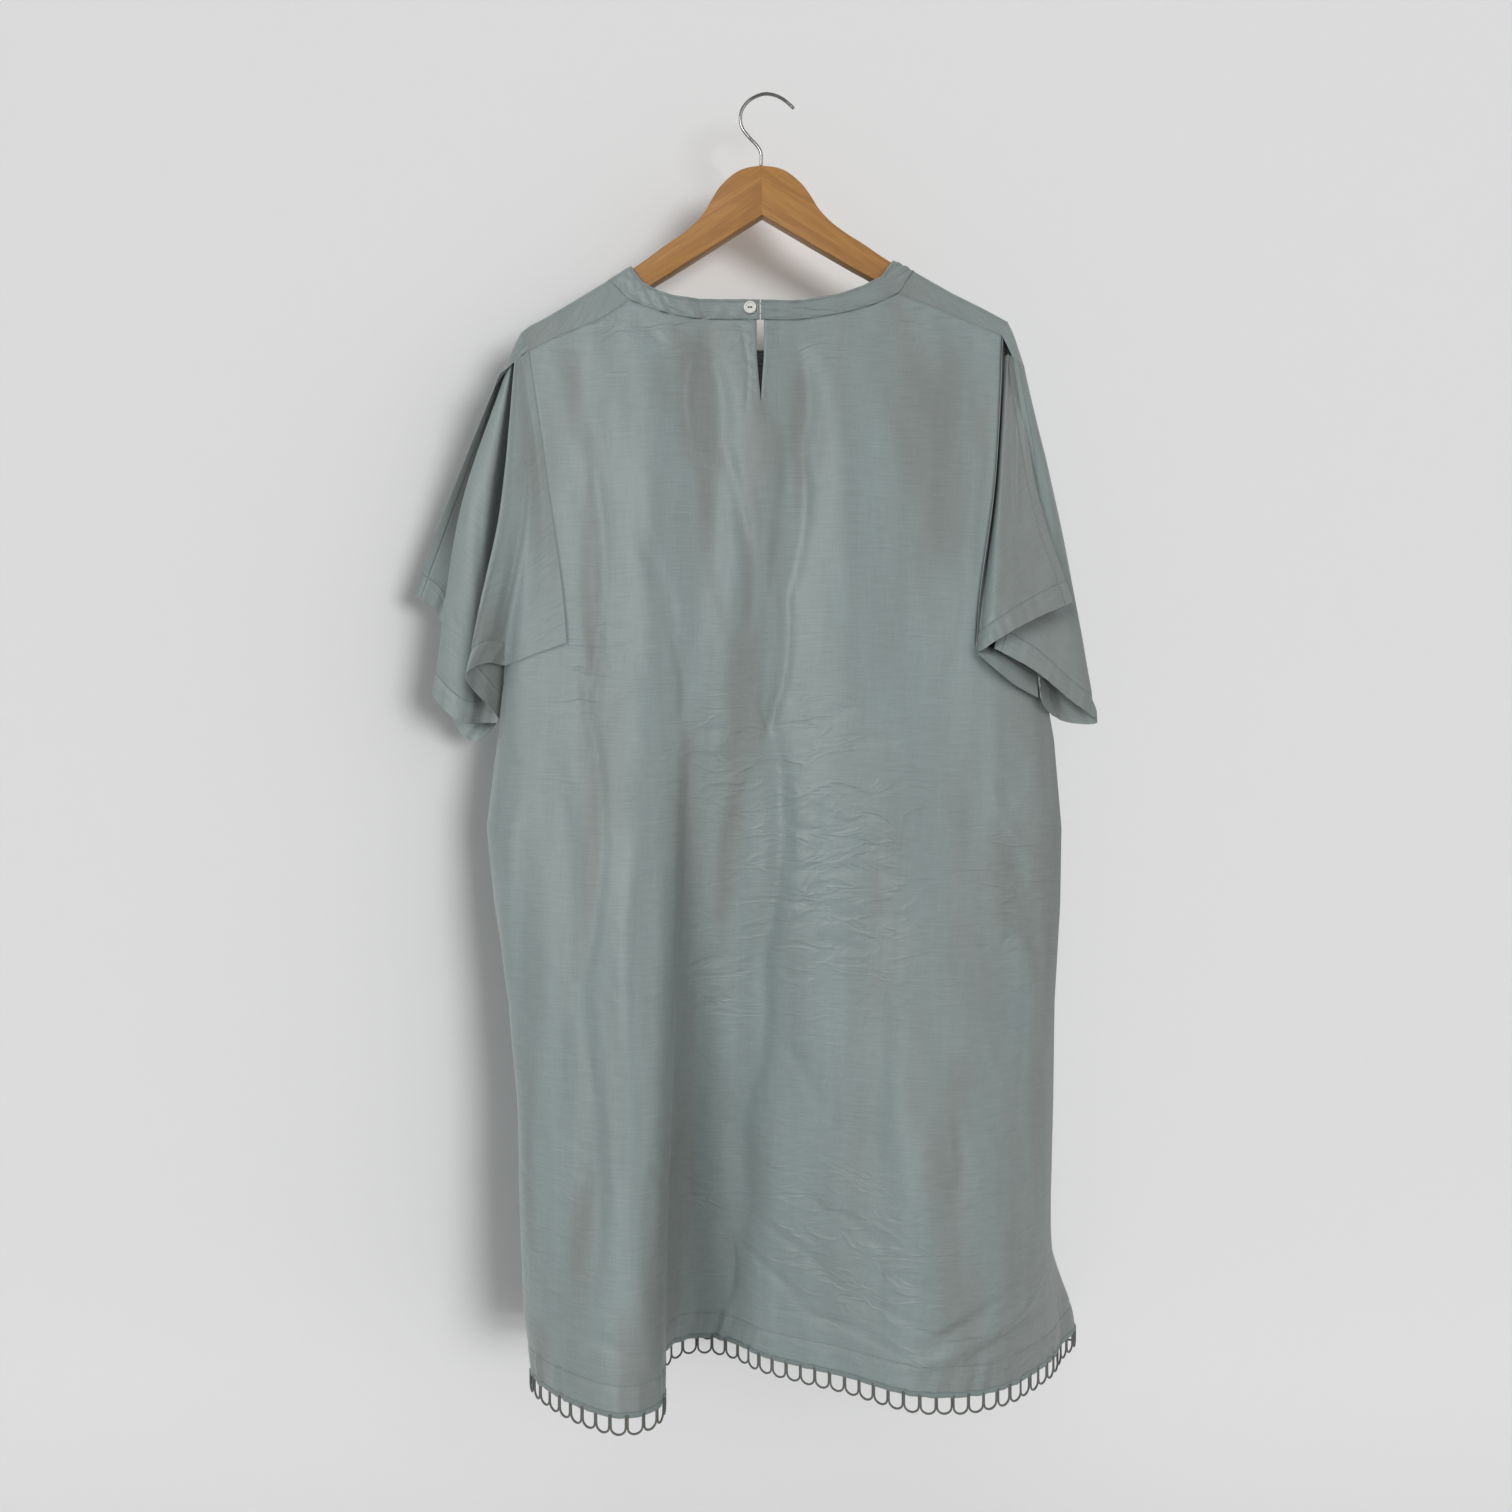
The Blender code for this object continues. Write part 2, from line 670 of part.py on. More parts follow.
def front_panel(rows, back_rows, collection):
    """The front, which goes over each shoulder to the seam behind. Returns the rows of those stretches."""
    per = COLUMNS_PER_LINE
    wraps = [[row.copy() for row in rows[0]] for _ in WRAP_ROWS]
    shoulders = (
        (FRONT_ARMHOLES[0] * per, FRONT_NECK[0] * per, BACK_ARMHOLES[0] * per, LEFT_CROSSING, 1),
        (FRONT_NECK[1] * per, FRONT_ARMHOLES[1] * per, BACK_NECK[1] * per, RIGHT_CROSSING, -1),
    )
    for first, last, back_first, crossing, way in shoulders:
        for j in range(first, last + 1):
            share = (j - first) / (last - first)
            ends = (crossing["armhole"], crossing["seam"])
            cross = ends[0] + (ends[1] - ends[0]) * (share if way > 0 else 1 - share)
            seam = back_rows[0][back_first + j - first] + np.array((0.0, 0.0, SEAM_GAP))
            for row, point in zip(wraps, wrap_column(seam, cross, rows[0][j])):
                row[j] = point
            wraps[0][j] = seam
    spans = [(first, last) for first, last, *_ in shoulders]
    first, last = (side * per for side in FRONT_ARMHOLES)
    above = len(wraps)

    def keep(i, j):
        if i < above:
            return any(a <= j < b for a, b in spans)
        return i >= above + UPPER_ROWS or first <= j < last

    cloth("front_panel", wraps + rows, keep, "silk", collection)
    return wraps


def unit(vector):
    return vector / np.linalg.norm(vector)


def open_side_seams(back_rows, front_rows):
    """Draws the two panels' edges apart, so that their walls don't meet where the cloth turns at a side."""
    for back, front in zip(back_rows[UPPER_ROWS:], front_rows[UPPER_ROWS:]):
        for edge, inner in ((0, 1), (-1, -2)):
            into_back = unit(back[inner] - back[edge])
            into_front = unit(front[inner] - front[edge])
            turn = math.pi - math.acos(float(np.clip(into_back @ into_front, -1, 1)))
            pull = SEAM_GAP / 2 + WALL / 2 * math.tan(turn / 2) + SIDE_SEAM_SPARE
            back[edge] = back[edge] + into_back * pull
            front[edge] = front[edge] + into_front * pull


def sleeve_rows(seam, foot_seam, lines, shares):
    """A sleeve half's points: seam points down the armhole, then its lines, with the foot on foot_seam."""
    middle = (len(seam) - 1) / 2
    seam_line = (seam[0], smooth(range(len(seam)), seam, middle), seam[-1])
    places = [seam_line] + [line[1:] for line in lines]
    columns = steps(0, len(lines), len(lines) * COLUMNS_PER_LINE)
    rows = []
    for k, share in enumerate(shares):
        across = [smooth((0.0, 0.5, 1.0), place, share) for place in places]
        row = [smooth(range(len(across)), across, s) for s in columns]
        if k < len(seam):
            row[0] = seam[k]
        rows.append(row)
    for j, point in enumerate(foot_seam):
        rows[-1][j] = point
    return rows


def everywhere(i, j):
    return True


def armhole_seam(panel, columns, aside):
    """A sleeve's points along its armhole: those beside the panel's edge, then those above its underarm."""
    down = [row[columns[0]] + np.array((aside, 0.0, 0.0)) for row in panel[: UPPER_ROWS + 1]]
    foot = [panel[UPPER_ROWS][j] + np.array((0.0, 0.0, SEAM_GAP)) for j in columns]
    foot[0] = foot[0] + np.array((aside, 0.0, 0.0))
    down[-1] = foot[0]
    return down, foot


def sleeve_half(name, panel, columns, lines, collection):
    """A sleeve half that joins its panel at the armhole; columns are the panel's, outward from there."""
    aside = SEAM_GAP if columns[-1] > columns[0] else -SEAM_GAP
    seam, foot = armhole_seam(panel, columns, aside)
    rows = sleeve_rows(seam, foot, lines, steps(0.0, 1.0, UPPER_ROWS))
    cloth(name, rows, everywhere, "silk", collection, folded=True)


def right_back_sleeve(collection, back_rows):
    """The right back sleeve, with the strip that hangs from the underarm seam behind its near fold."""
    per = COLUMNS_PER_LINE
    edge = BACK_ARMHOLES[1] * per
    across = SIDE_LINES * per
    seam, _ = armhole_seam(back_rows, range(edge, edge + across), STRIP_ASIDE)
    forward = np.array((0.0, -STRIP_STAND_OFF, SEAM_GAP))
    seam[-1] = back_rows[UPPER_ROWS][edge] + forward
    shares = steps(0.0, STRIP_SHARE, UPPER_ROWS) + steps(STRIP_SHARE, 1.0, STRIP_ROWS)[1:]
    rows = sleeve_rows(seam, [], RIGHT_BACK_SLEEVE, shares)
    strip = [[] for _ in range(STRIP_ROWS + 1)]
    for j in range(across, -1, -1):
        top = back_rows[UPPER_ROWS][edge + j] + forward
        hem = np.array(RIGHT_STRIP_HEM[j])
        for k, row in enumerate(strip):
            row.append(top + (hem - top) * k / STRIP_ROWS)
    blank = [np.zeros(3)] * across
    full = [blank + row for row in rows[:UPPER_ROWS]]
    full += [extra + row[1:] for extra, row in zip(strip, rows[UPPER_ROWS:])]

    def keep(i, j):
        return j >= across or i >= UPPER_ROWS

    cloth("sleeve_right_back", full, keep, "silk", collection, folded=True)


def neck_band(collection, back_rows, front_wraps, front_rows):
    """The band round the neck, open at the slit. Its seam edge follows the panels' top edges."""
    per = COLUMNS_PER_LINE
    pairs = []

    def add_flat(points, table, side):
        for point in points:
            edge_x, edge_depth = between(table, point[0])
            edge = draped(edge_x, edge_depth - between(RIDGE, edge_x), side)
            pairs.append((point, edge))

    def add_wrap(column, crossing, way):
        """The stretch over a shoulder, from back to front."""
        found = []
        seam_back, edge_back = pairs_back[way]
        edge_drop = -edge_back[2] - between(RIDGE, edge_back[0])
        for (kind, amount, side), row in zip(WRAP_ROWS[1:], front_wraps[1:]):
            drop = amount * (edge_drop if kind == "share" else RIDGE_RADIUS)
            x = crossing["edge"]
            if side < 0:
                x += (edge_back[0] - crossing["edge"]) * min(drop / edge_drop, 1.0)
            found.append((row[column], draped(x, drop, side)))
        return found

    back_left = [back_rows[0][j] for j in range(SLIT_LINES[0] * per + 1, BACK_NECK[0] * per - 1, -1)]
    back_right = [back_rows[0][j] for j in range(BACK_NECK[1] * per, SLIT_LINES[1] * per, -1)]
    end_left = draped(BAND_END_LEFT, between(BACK_TOP, BAND_END_LEFT) - between(RIDGE, BAND_END_LEFT), -1)
    end_right = draped(BAND_END_RIGHT, between(BACK_TOP, BAND_END_RIGHT) - between(RIDGE, BAND_END_RIGHT), -1)
    back_left[0] = end_left
    add_flat(back_left, BACK_BAND, -1)
    left_pairs = list(pairs)
    pairs.clear()
    add_flat(back_right + [end_right], BACK_BAND, -1)
    right_pairs = list(pairs)
    pairs.clear()
    pairs_back = {"left": left_pairs[-1], "right": right_pairs[0]}
    add_flat(front_rows[0][FRONT_NECK[0] * per : FRONT_NECK[1] * per + 1], FRONT_BAND, 1)
    front_pairs = list(pairs)
    left_wrap = add_wrap(FRONT_NECK[0] * per, LEFT_CROSSING, "left")
    right_wrap = add_wrap(FRONT_NECK[1] * per, RIGHT_CROSSING, "right")
    path = left_pairs + left_wrap + front_pairs + right_wrap[::-1] + right_pairs
    rows = [[], []]
    for seam, edge in path:
        way = (edge - seam) / np.linalg.norm(edge - seam)
        rows[0].append(seam + way * SEAM_GAP)
        rows[1].append(edge)
    rows.insert(1, [(a + b) / 2 for a, b in zip(rows[0], rows[1])])
    cloth("neck_band", rows, everywhere, "silk_band", collection)


def even_path(points, count):
    """count + 1 points spaced evenly along a line of points."""
    points = np.array(points)
    lengths = np.concatenate(([0.0], np.cumsum(np.linalg.norm(np.diff(points, axis=0), axis=1))))
    places = np.linspace(0.0, lengths[-1], count + 1)
    return np.stack([np.interp(places, lengths, points[:, c]) for c in range(3)], axis=1)


def loop_trim(name, hem, loops, collection):
    """A row of U-shaped cord loops, fused at their sides, that hangs from a hem."""
    path = even_path(hem, loops)
    vertices, faces, shared = [], [], {}

    def vertex(loop, across, drop):
        key = (round(loop + across, 4), drop)
        if key not in shared:
            place = loop + across
            k = min(int(place), loops - 1)
            point = path[k] + (path[k + 1] - path[k]) * (place - k)
            shared[key] = len(vertices)
            vertices.append(point - np.array((0.0, 0.0, drop + SEAM_GAP)))
        return shared[key]

    around = len(TRIM_OUTER)
    for loop in range(loops):
        outer = [vertex(loop, *place) for place in TRIM_OUTER]
        inner = [vertex(loop, *place) for place in TRIM_INNER]
        for k in range(around):
            n = (k + 1) % around
            faces.append((outer[k], outer[n], inner[n], inner[k]))
    made = mesh_object(name, vertices, faces, "trim_cord", collection)
    thicken(made, TRIM_WALL)


def hanger_arm(name, side, collection):
    """One half of the wooden hanger, tilted with it about the hook's stem."""
    joint = SEAM_GAP / 2
    sine, cosine = math.sin(HANGER_TILT), math.cos(HANGER_TILT)
    outline = []
    for distance, depth in HANGER_TOP + HANGER_UNDER:
        x = side * max(distance, joint)
        z = HANGER_PIVOT_DEPTH - depth
        outline.append((HANGER_X + x * cosine - z * sine, x * sine + z * cosine - HANGER_PIVOT_DEPTH))
    made = slab(name, outline, HANGER_THICKNESS, "wood", collection)
    made.data.shade_smooth()
    weights = made.data.attributes.new("bevel_weight_edge", "FLOAT", "EDGE")
    corners = made.data.vertices
    joint_x = (HANGER_X + side * joint) * CM
    for edge in made.data.edges:
        a, b = (corners[k].co for k in edge.vertices)
        on_face = abs(a.y - b.y) < WALL * CM
        at_joint = max(abs(a.x - joint_x), abs(b.x - joint_x)) < JOINT_REACH * CM
        weights.data[edge.index].value = 1.0 if on_face and not at_joint else 0.0
    round_off = made.modifiers.new("rounding", "BEVEL")
    round_off.width = HANGER_ROUNDING * CM
    round_off.segments = 2
    round_off.limit_method = "WEIGHT"


def hook(collection):
    count = 30
    knots = range(len(HOOK_ROUTE))
    places = [smooth(knots, HOOK_ROUTE, t) for t in steps(0, len(HOOK_ROUTE) - 1, count)]
    wire("hanger_hook", [(x, 0.0, z) for x, z in places], WIRE_RADIUS, "chrome", collection, sides=2)


def cloth_face(x, z):
    """Y of the cloth's outer face behind the neck, at x and z."""
    return draped(x, -z - between(RIDGE, x), -1)[1] - WALL / 2


def button(collection, cutters):
    """A round button with a raised rim and two holes, on the left end of the band."""
    x, z = BUTTON_AT
    back = cloth_face(x, z) - SEAM_GAP
    mesh = bpy.data.meshes.new("button")
    count = len(BUTTON_PROFILE)
    points = [(r * CM, 0.0, rise * CM) for r, rise in BUTTON_PROFILE]
    mesh.from_pydata(points, [(k, k + 1) for k in range(count - 1)], [])
    mesh.materials.append(material("button", "shell"))
    made = bpy.data.objects.new("button", mesh)
    collection.objects.link(made)
    made.location = (x * CM, back * CM, z * CM)
    made.rotation_euler = (math.pi / 2, 0.0, 0.0)
    turned = made.modifiers.new("turned", "SCREW")
    turned.steps = turned.render_steps = BUTTON_STEPS
    turned.use_merge_vertices = True
    turned.merge_threshold = MERGE_DISTANCE
    turned.use_smooth_shade = True
    for side in (-1, 1):
        work = bmesh.new()
        bmesh.ops.create_cone(
            work,
            cap_ends=True,
            segments=8,
            radius1=BUTTON_HOLE_RADIUS * CM,
            radius2=BUTTON_HOLE_RADIUS * CM,
            depth=4 * BUTTON_THICKNESS * CM,
        )
        hole = bpy.data.meshes.new(f"button_hole_cutter_{side}")
        work.to_mesh(hole)
        work.free()
        cutter = bpy.data.objects.new(hole.name, hole)
        collection.objects.link(cutter)
        cutter.location = ((x + side * BUTTON_HOLE_SPACING / 2) * CM, back * CM, z * CM)
        cutter.rotation_euler = (math.pi / 2, 0.0, 0.0)
        as_cutter(cutter, cutters)
        cut_away(made, cutter)


def button_loop(collection):
    """The thread loop from the right end of the band round the button's side."""
    route = []
    for x, z in LOOP_ROUTE:
        face = cloth_face(x, z)
        route.append((x, face - LOOP_CORD_RADIUS - SEAM_GAP, z))
    wire("button_loop", route, LOOP_CORD_RADIUS, "thread", collection, sides=1)


def hem_points(rows, gap):
    points = [row.copy() for row in rows[-1]]
    ends = []
    for inner, outer in ((points[1], points[0]), (points[-2], points[-1])):
        way = (inner - outer) / np.linalg.norm(inner - outer)
        ends.append(outer + way * gap)
    points[0], points[-1] = ends
    return points


def build():
    for left_over in list(bpy.data.objects):
        bpy.data.objects.remove(left_over, do_unlink=True)
    parts = bpy.data.collections.new(NAME)
    cutters = bpy.data.collections.new("cutters")
    bpy.context.scene.collection.children.link(parts)
    bpy.context.scene.collection.children.link(cutters)

    back_rows = panel_rows(BACK, BACK_COLUMNS, BACK_ARMHOLES, back_top, BACK_UNDERARM)
    front_rows = panel_rows(FRONT, FRONT_COLUMNS, FRONT_ARMHOLES, front_top, FRONT_UNDERARM)
    open_side_seams(back_rows, front_rows)
    back_panel(back_rows, parts, cutters)
    front_wraps = front_panel(front_rows, back_rows, parts)
    per = COLUMNS_PER_LINE
    edge = BACK_ARMHOLES[0] * per
    sleeve_half("sleeve_left_back", back_rows, range(edge, 0, -1), LEFT_BACK_SLEEVE, parts)
    edge = FRONT_ARMHOLES[0] * per
    sleeve_half("sleeve_left_front", front_rows, range(edge, 0, -1), LEFT_FRONT_SLEEVE, parts)
    right_back_sleeve(parts, back_rows)
    edge, across = FRONT_ARMHOLES[1] * per, SIDE_LINES * per
    sleeve_half("sleeve_right_front", front_rows, range(edge, edge + across), RIGHT_FRONT_SLEEVE, parts)
    neck_band(parts, back_rows, front_wraps, front_rows)
    loop_trim("trim_back", hem_points(back_rows, SEAM_GAP), TRIM_LOOPS["back"], parts)
    loop_trim("trim_front", hem_points(front_rows, SEAM_GAP), TRIM_LOOPS["front"], parts)
    hanger_arm("hanger_arm_left", -1, parts)
    hanger_arm("hanger_arm_right", 1, parts)
    hook(parts)
    button(parts, cutters)
    button_loop(parts)


build()
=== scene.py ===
"""Looks of the tunic dress on its hanger: fine cloth, stitching, loop trim, wood, wire, button and stage.

Tables are in centimetres, as a cutter measures, and a depth is a distance straight down from the origin
at the hook. The dress's back faces -Y, its front +Y, and +X is to the right as its back is looked at.
"""

import math

import bmesh
import bpy
import numpy as np
from mathutils import Matrix, Vector


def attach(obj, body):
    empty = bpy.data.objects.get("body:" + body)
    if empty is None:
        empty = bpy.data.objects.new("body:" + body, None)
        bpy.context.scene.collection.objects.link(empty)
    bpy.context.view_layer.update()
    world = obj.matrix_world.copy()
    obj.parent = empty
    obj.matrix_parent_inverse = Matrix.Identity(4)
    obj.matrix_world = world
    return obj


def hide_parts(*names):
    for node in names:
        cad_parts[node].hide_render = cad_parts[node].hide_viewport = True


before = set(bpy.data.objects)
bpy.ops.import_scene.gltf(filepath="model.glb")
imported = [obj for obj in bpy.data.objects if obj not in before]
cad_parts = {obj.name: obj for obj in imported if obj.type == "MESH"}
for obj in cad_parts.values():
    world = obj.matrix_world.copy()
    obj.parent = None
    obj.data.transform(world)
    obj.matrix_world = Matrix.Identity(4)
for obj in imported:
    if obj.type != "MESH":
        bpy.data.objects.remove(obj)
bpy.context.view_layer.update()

bl_info = {
    "name": "Tunic dress on hanger",
    "version": (1, 0, 0),
    "blender": (4, 5, 0),
    "location": "3D View > Sidebar > Dress",
    "description": "Builds a tunic dress with split sleeves, its loop trim and its wooden hanger",
    "category": "Add Mesh",
}

CM = 0.01
SEED = 7

# Cloth, as the sections of its drape
SEAM_GAP = 0.008
HEM_DEPTH = 114.7
LEVELS = (22.0, 35.0, 51.0, HEM_DEPTH)

# Each row is a line of the cloth that runs down the back, from the left side seam to the right one.
# Its (x, y) stands at four levels: the yoke, the chest, the underarm and the hem.
BACK_LINES = (
    # line, yoke, chest, underarm, hem
    ("left side seam", (-23.8, -0.1), (-23.8, -0.1), (-23.8, -0.1), (-21.0, 0.5)),
    ("left side", (-22.4, -1.6), (-22.4, -1.6), (-22.4, -1.6), (-20.4, -4.8)),
    ("left armhole", (-21.9, -0.9), (-19.9, -1.6), (-17.9, -2.4), (-16.3, -9.2)),
    ("left ridge", (-16.5, -1.2), (-15.6, -2.0), (-13.7, -3.3), (-12.2, -11.3)),
    ("fold shoulder", (-12.4, -1.5), (-11.2, -3.0), (-10.4, -3.7), (-9.4, -10.2)),
    ("fold edge", (-9.0, -1.6), (-8.8, -2.9), (-8.1, -3.3), (-8.8, -7.2)),
    ("fold flank", (-6.6, -1.6), (-6.6, -2.5), (-6.4, -2.9), (-9.6, -2.2)),
    ("valley left", (-4.9, -1.5), (-4.6, -2.2), (-4.9, -3.0), (-8.4, 1.4)),
    ("valley floor", (-2.6, -1.7), (-2.2, -2.8), (-3.2, -3.3), (-5.6, 2.4)),
    ("valley right", (-0.7, -1.8), (0.2, -3.0), (-0.9, -2.9), (-2.9, 1.2)),
    ("centre trough", (3.0, -1.5), (2.6, -2.1), (1.3, -2.7), (0.3, -1.6)),
    ("right rise", (7.4, -1.7), (6.8, -3.1), (7.4, -3.8), (6.9, -4.8)),
    ("right ridge", (11.9, -1.5), (12.2, -2.8), (13.2, -3.6), (12.2, -7.8)),
    ("right blade", (16.8, -1.2), (16.8, -2.4), (16.4, -3.2), (16.8, -8.0)),
    ("right armhole", (21.4, -0.9), (20.6, -1.6), (18.7, -2.6), (20.9, -6.4)),
    ("right side", (22.4, -1.3), (22.4, -1.3), (22.4, -1.3), (24.6, -2.8)),
    ("right side seam", (24.6, -0.1), (24.6, -0.1), (24.6, -0.1), (26.2, 0.5)),
)
BACK_ARMHOLES = (2, 14)
FRONT_LINES = (
    ("left side seam", (-23.8, -0.1), (-23.8, -0.1), (-23.8, -0.1), (-21.0, 0.5)),
    ("left side", (-22.6, 1.3), (-22.6, 1.3), (-22.6, 1.3), (-20.2, 3.4)),
    ("left armhole", (-22.2, 0.9), (-20.0, 1.5), (-18.2, 2.1), (-16.4, 4.6)),
    ("left fold", (-18.2, 1.0), (-16.2, 1.9), (-14.5, 2.5), (-12.4, 5.2)),
    ("left neck", (-14.2, 1.1), (-12.2, 2.1), (-10.6, 2.9), (-8.4, 5.4)),
    ("left breast", (-8.5, 1.3), (-7.2, 2.5), (-6.0, 3.1), (-3.8, 4.7)),
    ("left of centre", (-3.0, 1.4), (-2.5, 2.4), (-1.4, 2.6), (0.8, 4.9)),
    ("right of centre", (2.5, 1.4), (2.5, 2.5), (3.3, 2.9), (5.4, 5.5)),
    ("right breast", (8.0, 1.3), (7.6, 2.3), (8.2, 2.6), (10.3, 4.9)),
    ("right neck", (13.3, 1.1), (12.4, 2.1), (12.8, 2.8), (15.4, 5.3)),
    ("right fold", (17.6, 1.0), (16.6, 1.8), (16.2, 2.3), (20.2, 4.8)),
    ("right armhole", (21.9, 0.9), (20.4, 1.5), (18.9, 2.1), (24.0, 4.6)),
    ("right side", (22.7, 1.4), (22.7, 1.4), (22.7, 1.4), (26.2, 3.2)),
    ("right side seam", (24.6, -0.1), (24.6, -0.1), (24.6, -0.1), (26.2, 0.5)),
)
FRONT_ARMHOLES = (2, 11)
FRONT_NECK = (4, 9)

# The front swings out past the right side seam just above the hem.
FLARE_START = 103.0
FLARE_OUT = 3.0
FLARE_BACK = 1.2
FLARE_LINE = 12
FLARE_REACH = 1.6

SIDE_OUTLINE = (
    # depth, left x, right x
    (52.2, -23.8, 24.6),
    (55.0, -24.2, 25.6),
    (59.0, -24.6, 26.3),
    (67.0, -25.6, 27.0),
    (74.0, -24.9, 26.9),
    (83.0, -23.5, 26.4),
    (92.0, -22.7, 26.3),
    (101.0, -22.4, 26.1),
    (110.0, -21.9, 26.1),
    (HEM_DEPTH, -21.0, 26.2),
)
SIDE_REACH = 3.0
BACK_UNDERARM = (
    # line number, depth of the square-cut underarm
    (0, 52.3),
    (1, 51.9),
    (2, 50.3),
    (8, 51.0),
    (14, 50.4),
    (15, 51.4),
    (16, 52.1),
)
FRONT_UNDERARM = (
    (0, 52.3),
    (1, 51.7),
    (2, 50.4),
    (6, 51.0),
    (11, 50.4),
    (12, 51.3),
    (13, 52.1),
)
BACK_TOP = (
    # x, depth of the shoulder and neck seams
    (-21.9, 23.6),
    (-18.8, 22.2),
    (-15.1, 20.8),
    (-12.4, 19.1),
    (-11.0, 19.7),
    (-9.2, 20.4),
    (-6.8, 20.9),
    (-1.0, 21.1),
    (3.1, 21.0),
    (7.2, 20.4),
    (9.6, 19.7),
    (11.9, 18.5),
    (16.8, 20.3),
    (19.4, 21.4),
    (21.4, 22.2),
)
FRONT_TOP = (
    (-14.2, 18.0),
    (-13.2, 19.6),
    (-11.6, 21.6),
    (-8.5, 23.6),
    (-4.6, 24.6),
    (-0.5, 24.8),
    (3.7, 24.6),
    (8.0, 23.4),
    (10.9, 21.4),
    (12.4, 19.4),
    (13.3, 17.2),
)
RIDGE = (
    # x, depth of the shoulders' top outline
    (-24.0, 23.8),
    (-22.6, 21.95),
    (-21.7, 21.2),
    (-20.3, 20.5),
    (-17.1, 18.6),
    (-12.9, 16.05),
    (-10.0, 14.3),
    (10.0, 14.3),
    (11.8, 15.3),
    (13.3, 16.1),
    (16.8, 18.1),
    (20.0, 19.7),
    (22.3, 20.95),
    (24.0, 23.4),
)
RIDGE_RADIUS = 0.8
RIDGE_SETTLE = 6.0
LEFT_CROSSING = {"armhole": -22.4, "seam": -14.4, "edge": -12.4}
RIGHT_CROSSING = {"armhole": 22.0, "seam": 13.4, "edge": 11.6}
BACK_BAND = (
    # seam x, edge x, edge depth
    (-12.4, -11.3, 17.4),
    (-11.0, -10.2, 18.2),
    (-9.2, -8.7, 18.8),
    (-6.8, -6.6, 19.15),
    (-1.0, -1.0, 19.35),
    (3.1, 3.0, 19.3),
    (7.2, 6.6, 18.75),
    (9.6, 8.6, 18.0),
    (11.9, 10.4, 17.0),
)
FRONT_BAND = (
    (-14.2, -12.2, 17.0),
    (-13.2, -11.3, 18.8),
    (-11.6, -9.9, 20.4),
    (-8.5, -7.4, 21.9),
    (-4.6, -4.0, 22.6),
    (-0.5, -0.5, 22.8),
    (3.7, 3.2, 22.6),
    (8.0, 6.8, 21.7),
    (10.9, 9.1, 20.2),
    (12.4, 10.6, 18.6),
    (13.3, 11.3, 16.6),
)
BAND_END_LEFT = -0.62
BAND_END_RIGHT = -0.52
BAND_TUCKS = (
    # distance from the left end, slant, half width, height
    (0.9, 0.3, 0.22, -0.05),
    (5.3, 0.6, 0.2, -0.07),
    (6.2, 0.9, 0.22, 0.05),
    (8.6, 1.4, 0.2, -0.08),
    (9.3, 1.5, 0.22, 0.07),
    (10.1, 1.7, 0.2, -0.08),
    (11.4, 1.2, 0.26, -0.05),
)
SLIT_EDGES = (
    # depth, left x, right x
    (19.0, -0.88, -0.27),
    (22.0, -0.9, -0.25),
    (24.5, -0.88, -0.26),
    (26.5, -0.72, -0.4),
    (28.2, -0.56, -0.5),
)
# The stitched box round the keyhole slit, how far its sides lean in, and the row beside the slit
FACING = {"left": -2.35, "right": 1.0, "top": 21.7, "bottom": 29.7}
FACING_TAPER = (0.5, 0.1)
SLIT_ROW = ((0.15, 21.7), (-0.1, 28.6))
# A column of the back that crosses all its upper rows
MIDDLE_COLUMN = 100

LEFT_BACK_SLEEVE = (
    # line, top, middle, foot
    ("seam end", (-22.1, -0.97, -24.1), (-20.9, -1.9, -37.9), (-22.4, -1.6, -51.9)),
    ("underarm", (-22.3, -1.0, -24.2), (-22.0, -2.2, -38.3), (-24.0, -0.45, -52.2)),
    ("arch", (-22.5, -1.05, -24.3), (-23.0, -2.5, -38.4), (-25.3, -2.0, -52.1)),
    ("near fold", (-22.8, -1.1, -24.4), (-23.9, -2.5, -38.6), (-26.8, -2.9, -53.5)),
    ("hidden fold", (-22.6, -0.4, -24.6), (-22.9, 0.1, -39.0), (-24.6, 0.3, -57.0)),
    ("crevice", (-23.0, -0.1, -24.8), (-24.3, 0.8, -39.0), (-26.0, 0.7, -57.4)),
    ("outer strip", (-23.2, -0.75, -24.9), (-25.5, -1.1, -39.0), (-27.9, -1.0, -57.3)),
    ("outer fold", (-23.7, -0.5, -25.3), (-27.9, -0.5, -38.2), (-30.4, -0.3, -55.0)),
    ("slit edge", (-23.6, 0.0, -25.5), (-27.0, 0.55, -37.6), (-29.3, 0.9, -54.0)),
)
LEFT_FRONT_SLEEVE = (
    ("seam middle", (-22.6, 0.85, -22.9), (-21.4, 1.9, -38.0), (-22.6, 1.3, -51.8)),
    ("underarm", (-22.9, 0.9, -23.2), (-22.7, 2.0, -38.5), (-24.0, 0.0, -52.2)),
    ("inner foot", (-23.3, 0.9, -23.9), (-23.8, 2.1, -39.0), (-24.6, 1.3, -55.6)),
    ("foot", (-23.8, 0.8, -24.7), (-24.9, 2.1, -39.3), (-25.4, 1.6, -57.8)),
    ("lowest point", (-24.3, 0.6, -25.6), (-26.0, 2.1, -39.3), (-27.6, 1.8, -59.0)),
    ("outer foot", (-24.8, 0.2, -26.6), (-27.2, 2.1, -38.8), (-29.7, 2.1, -55.8)),
    ("far hem", (-24.9, -0.4, -26.9), (-28.2, 2.1, -37.6), (-30.4, 2.2, -47.8)),
    ("slit edge", (-24.2, -1.1, -25.8), (-29.4, 1.3, -36.7), (-32.8, 1.9, -45.4)),
)
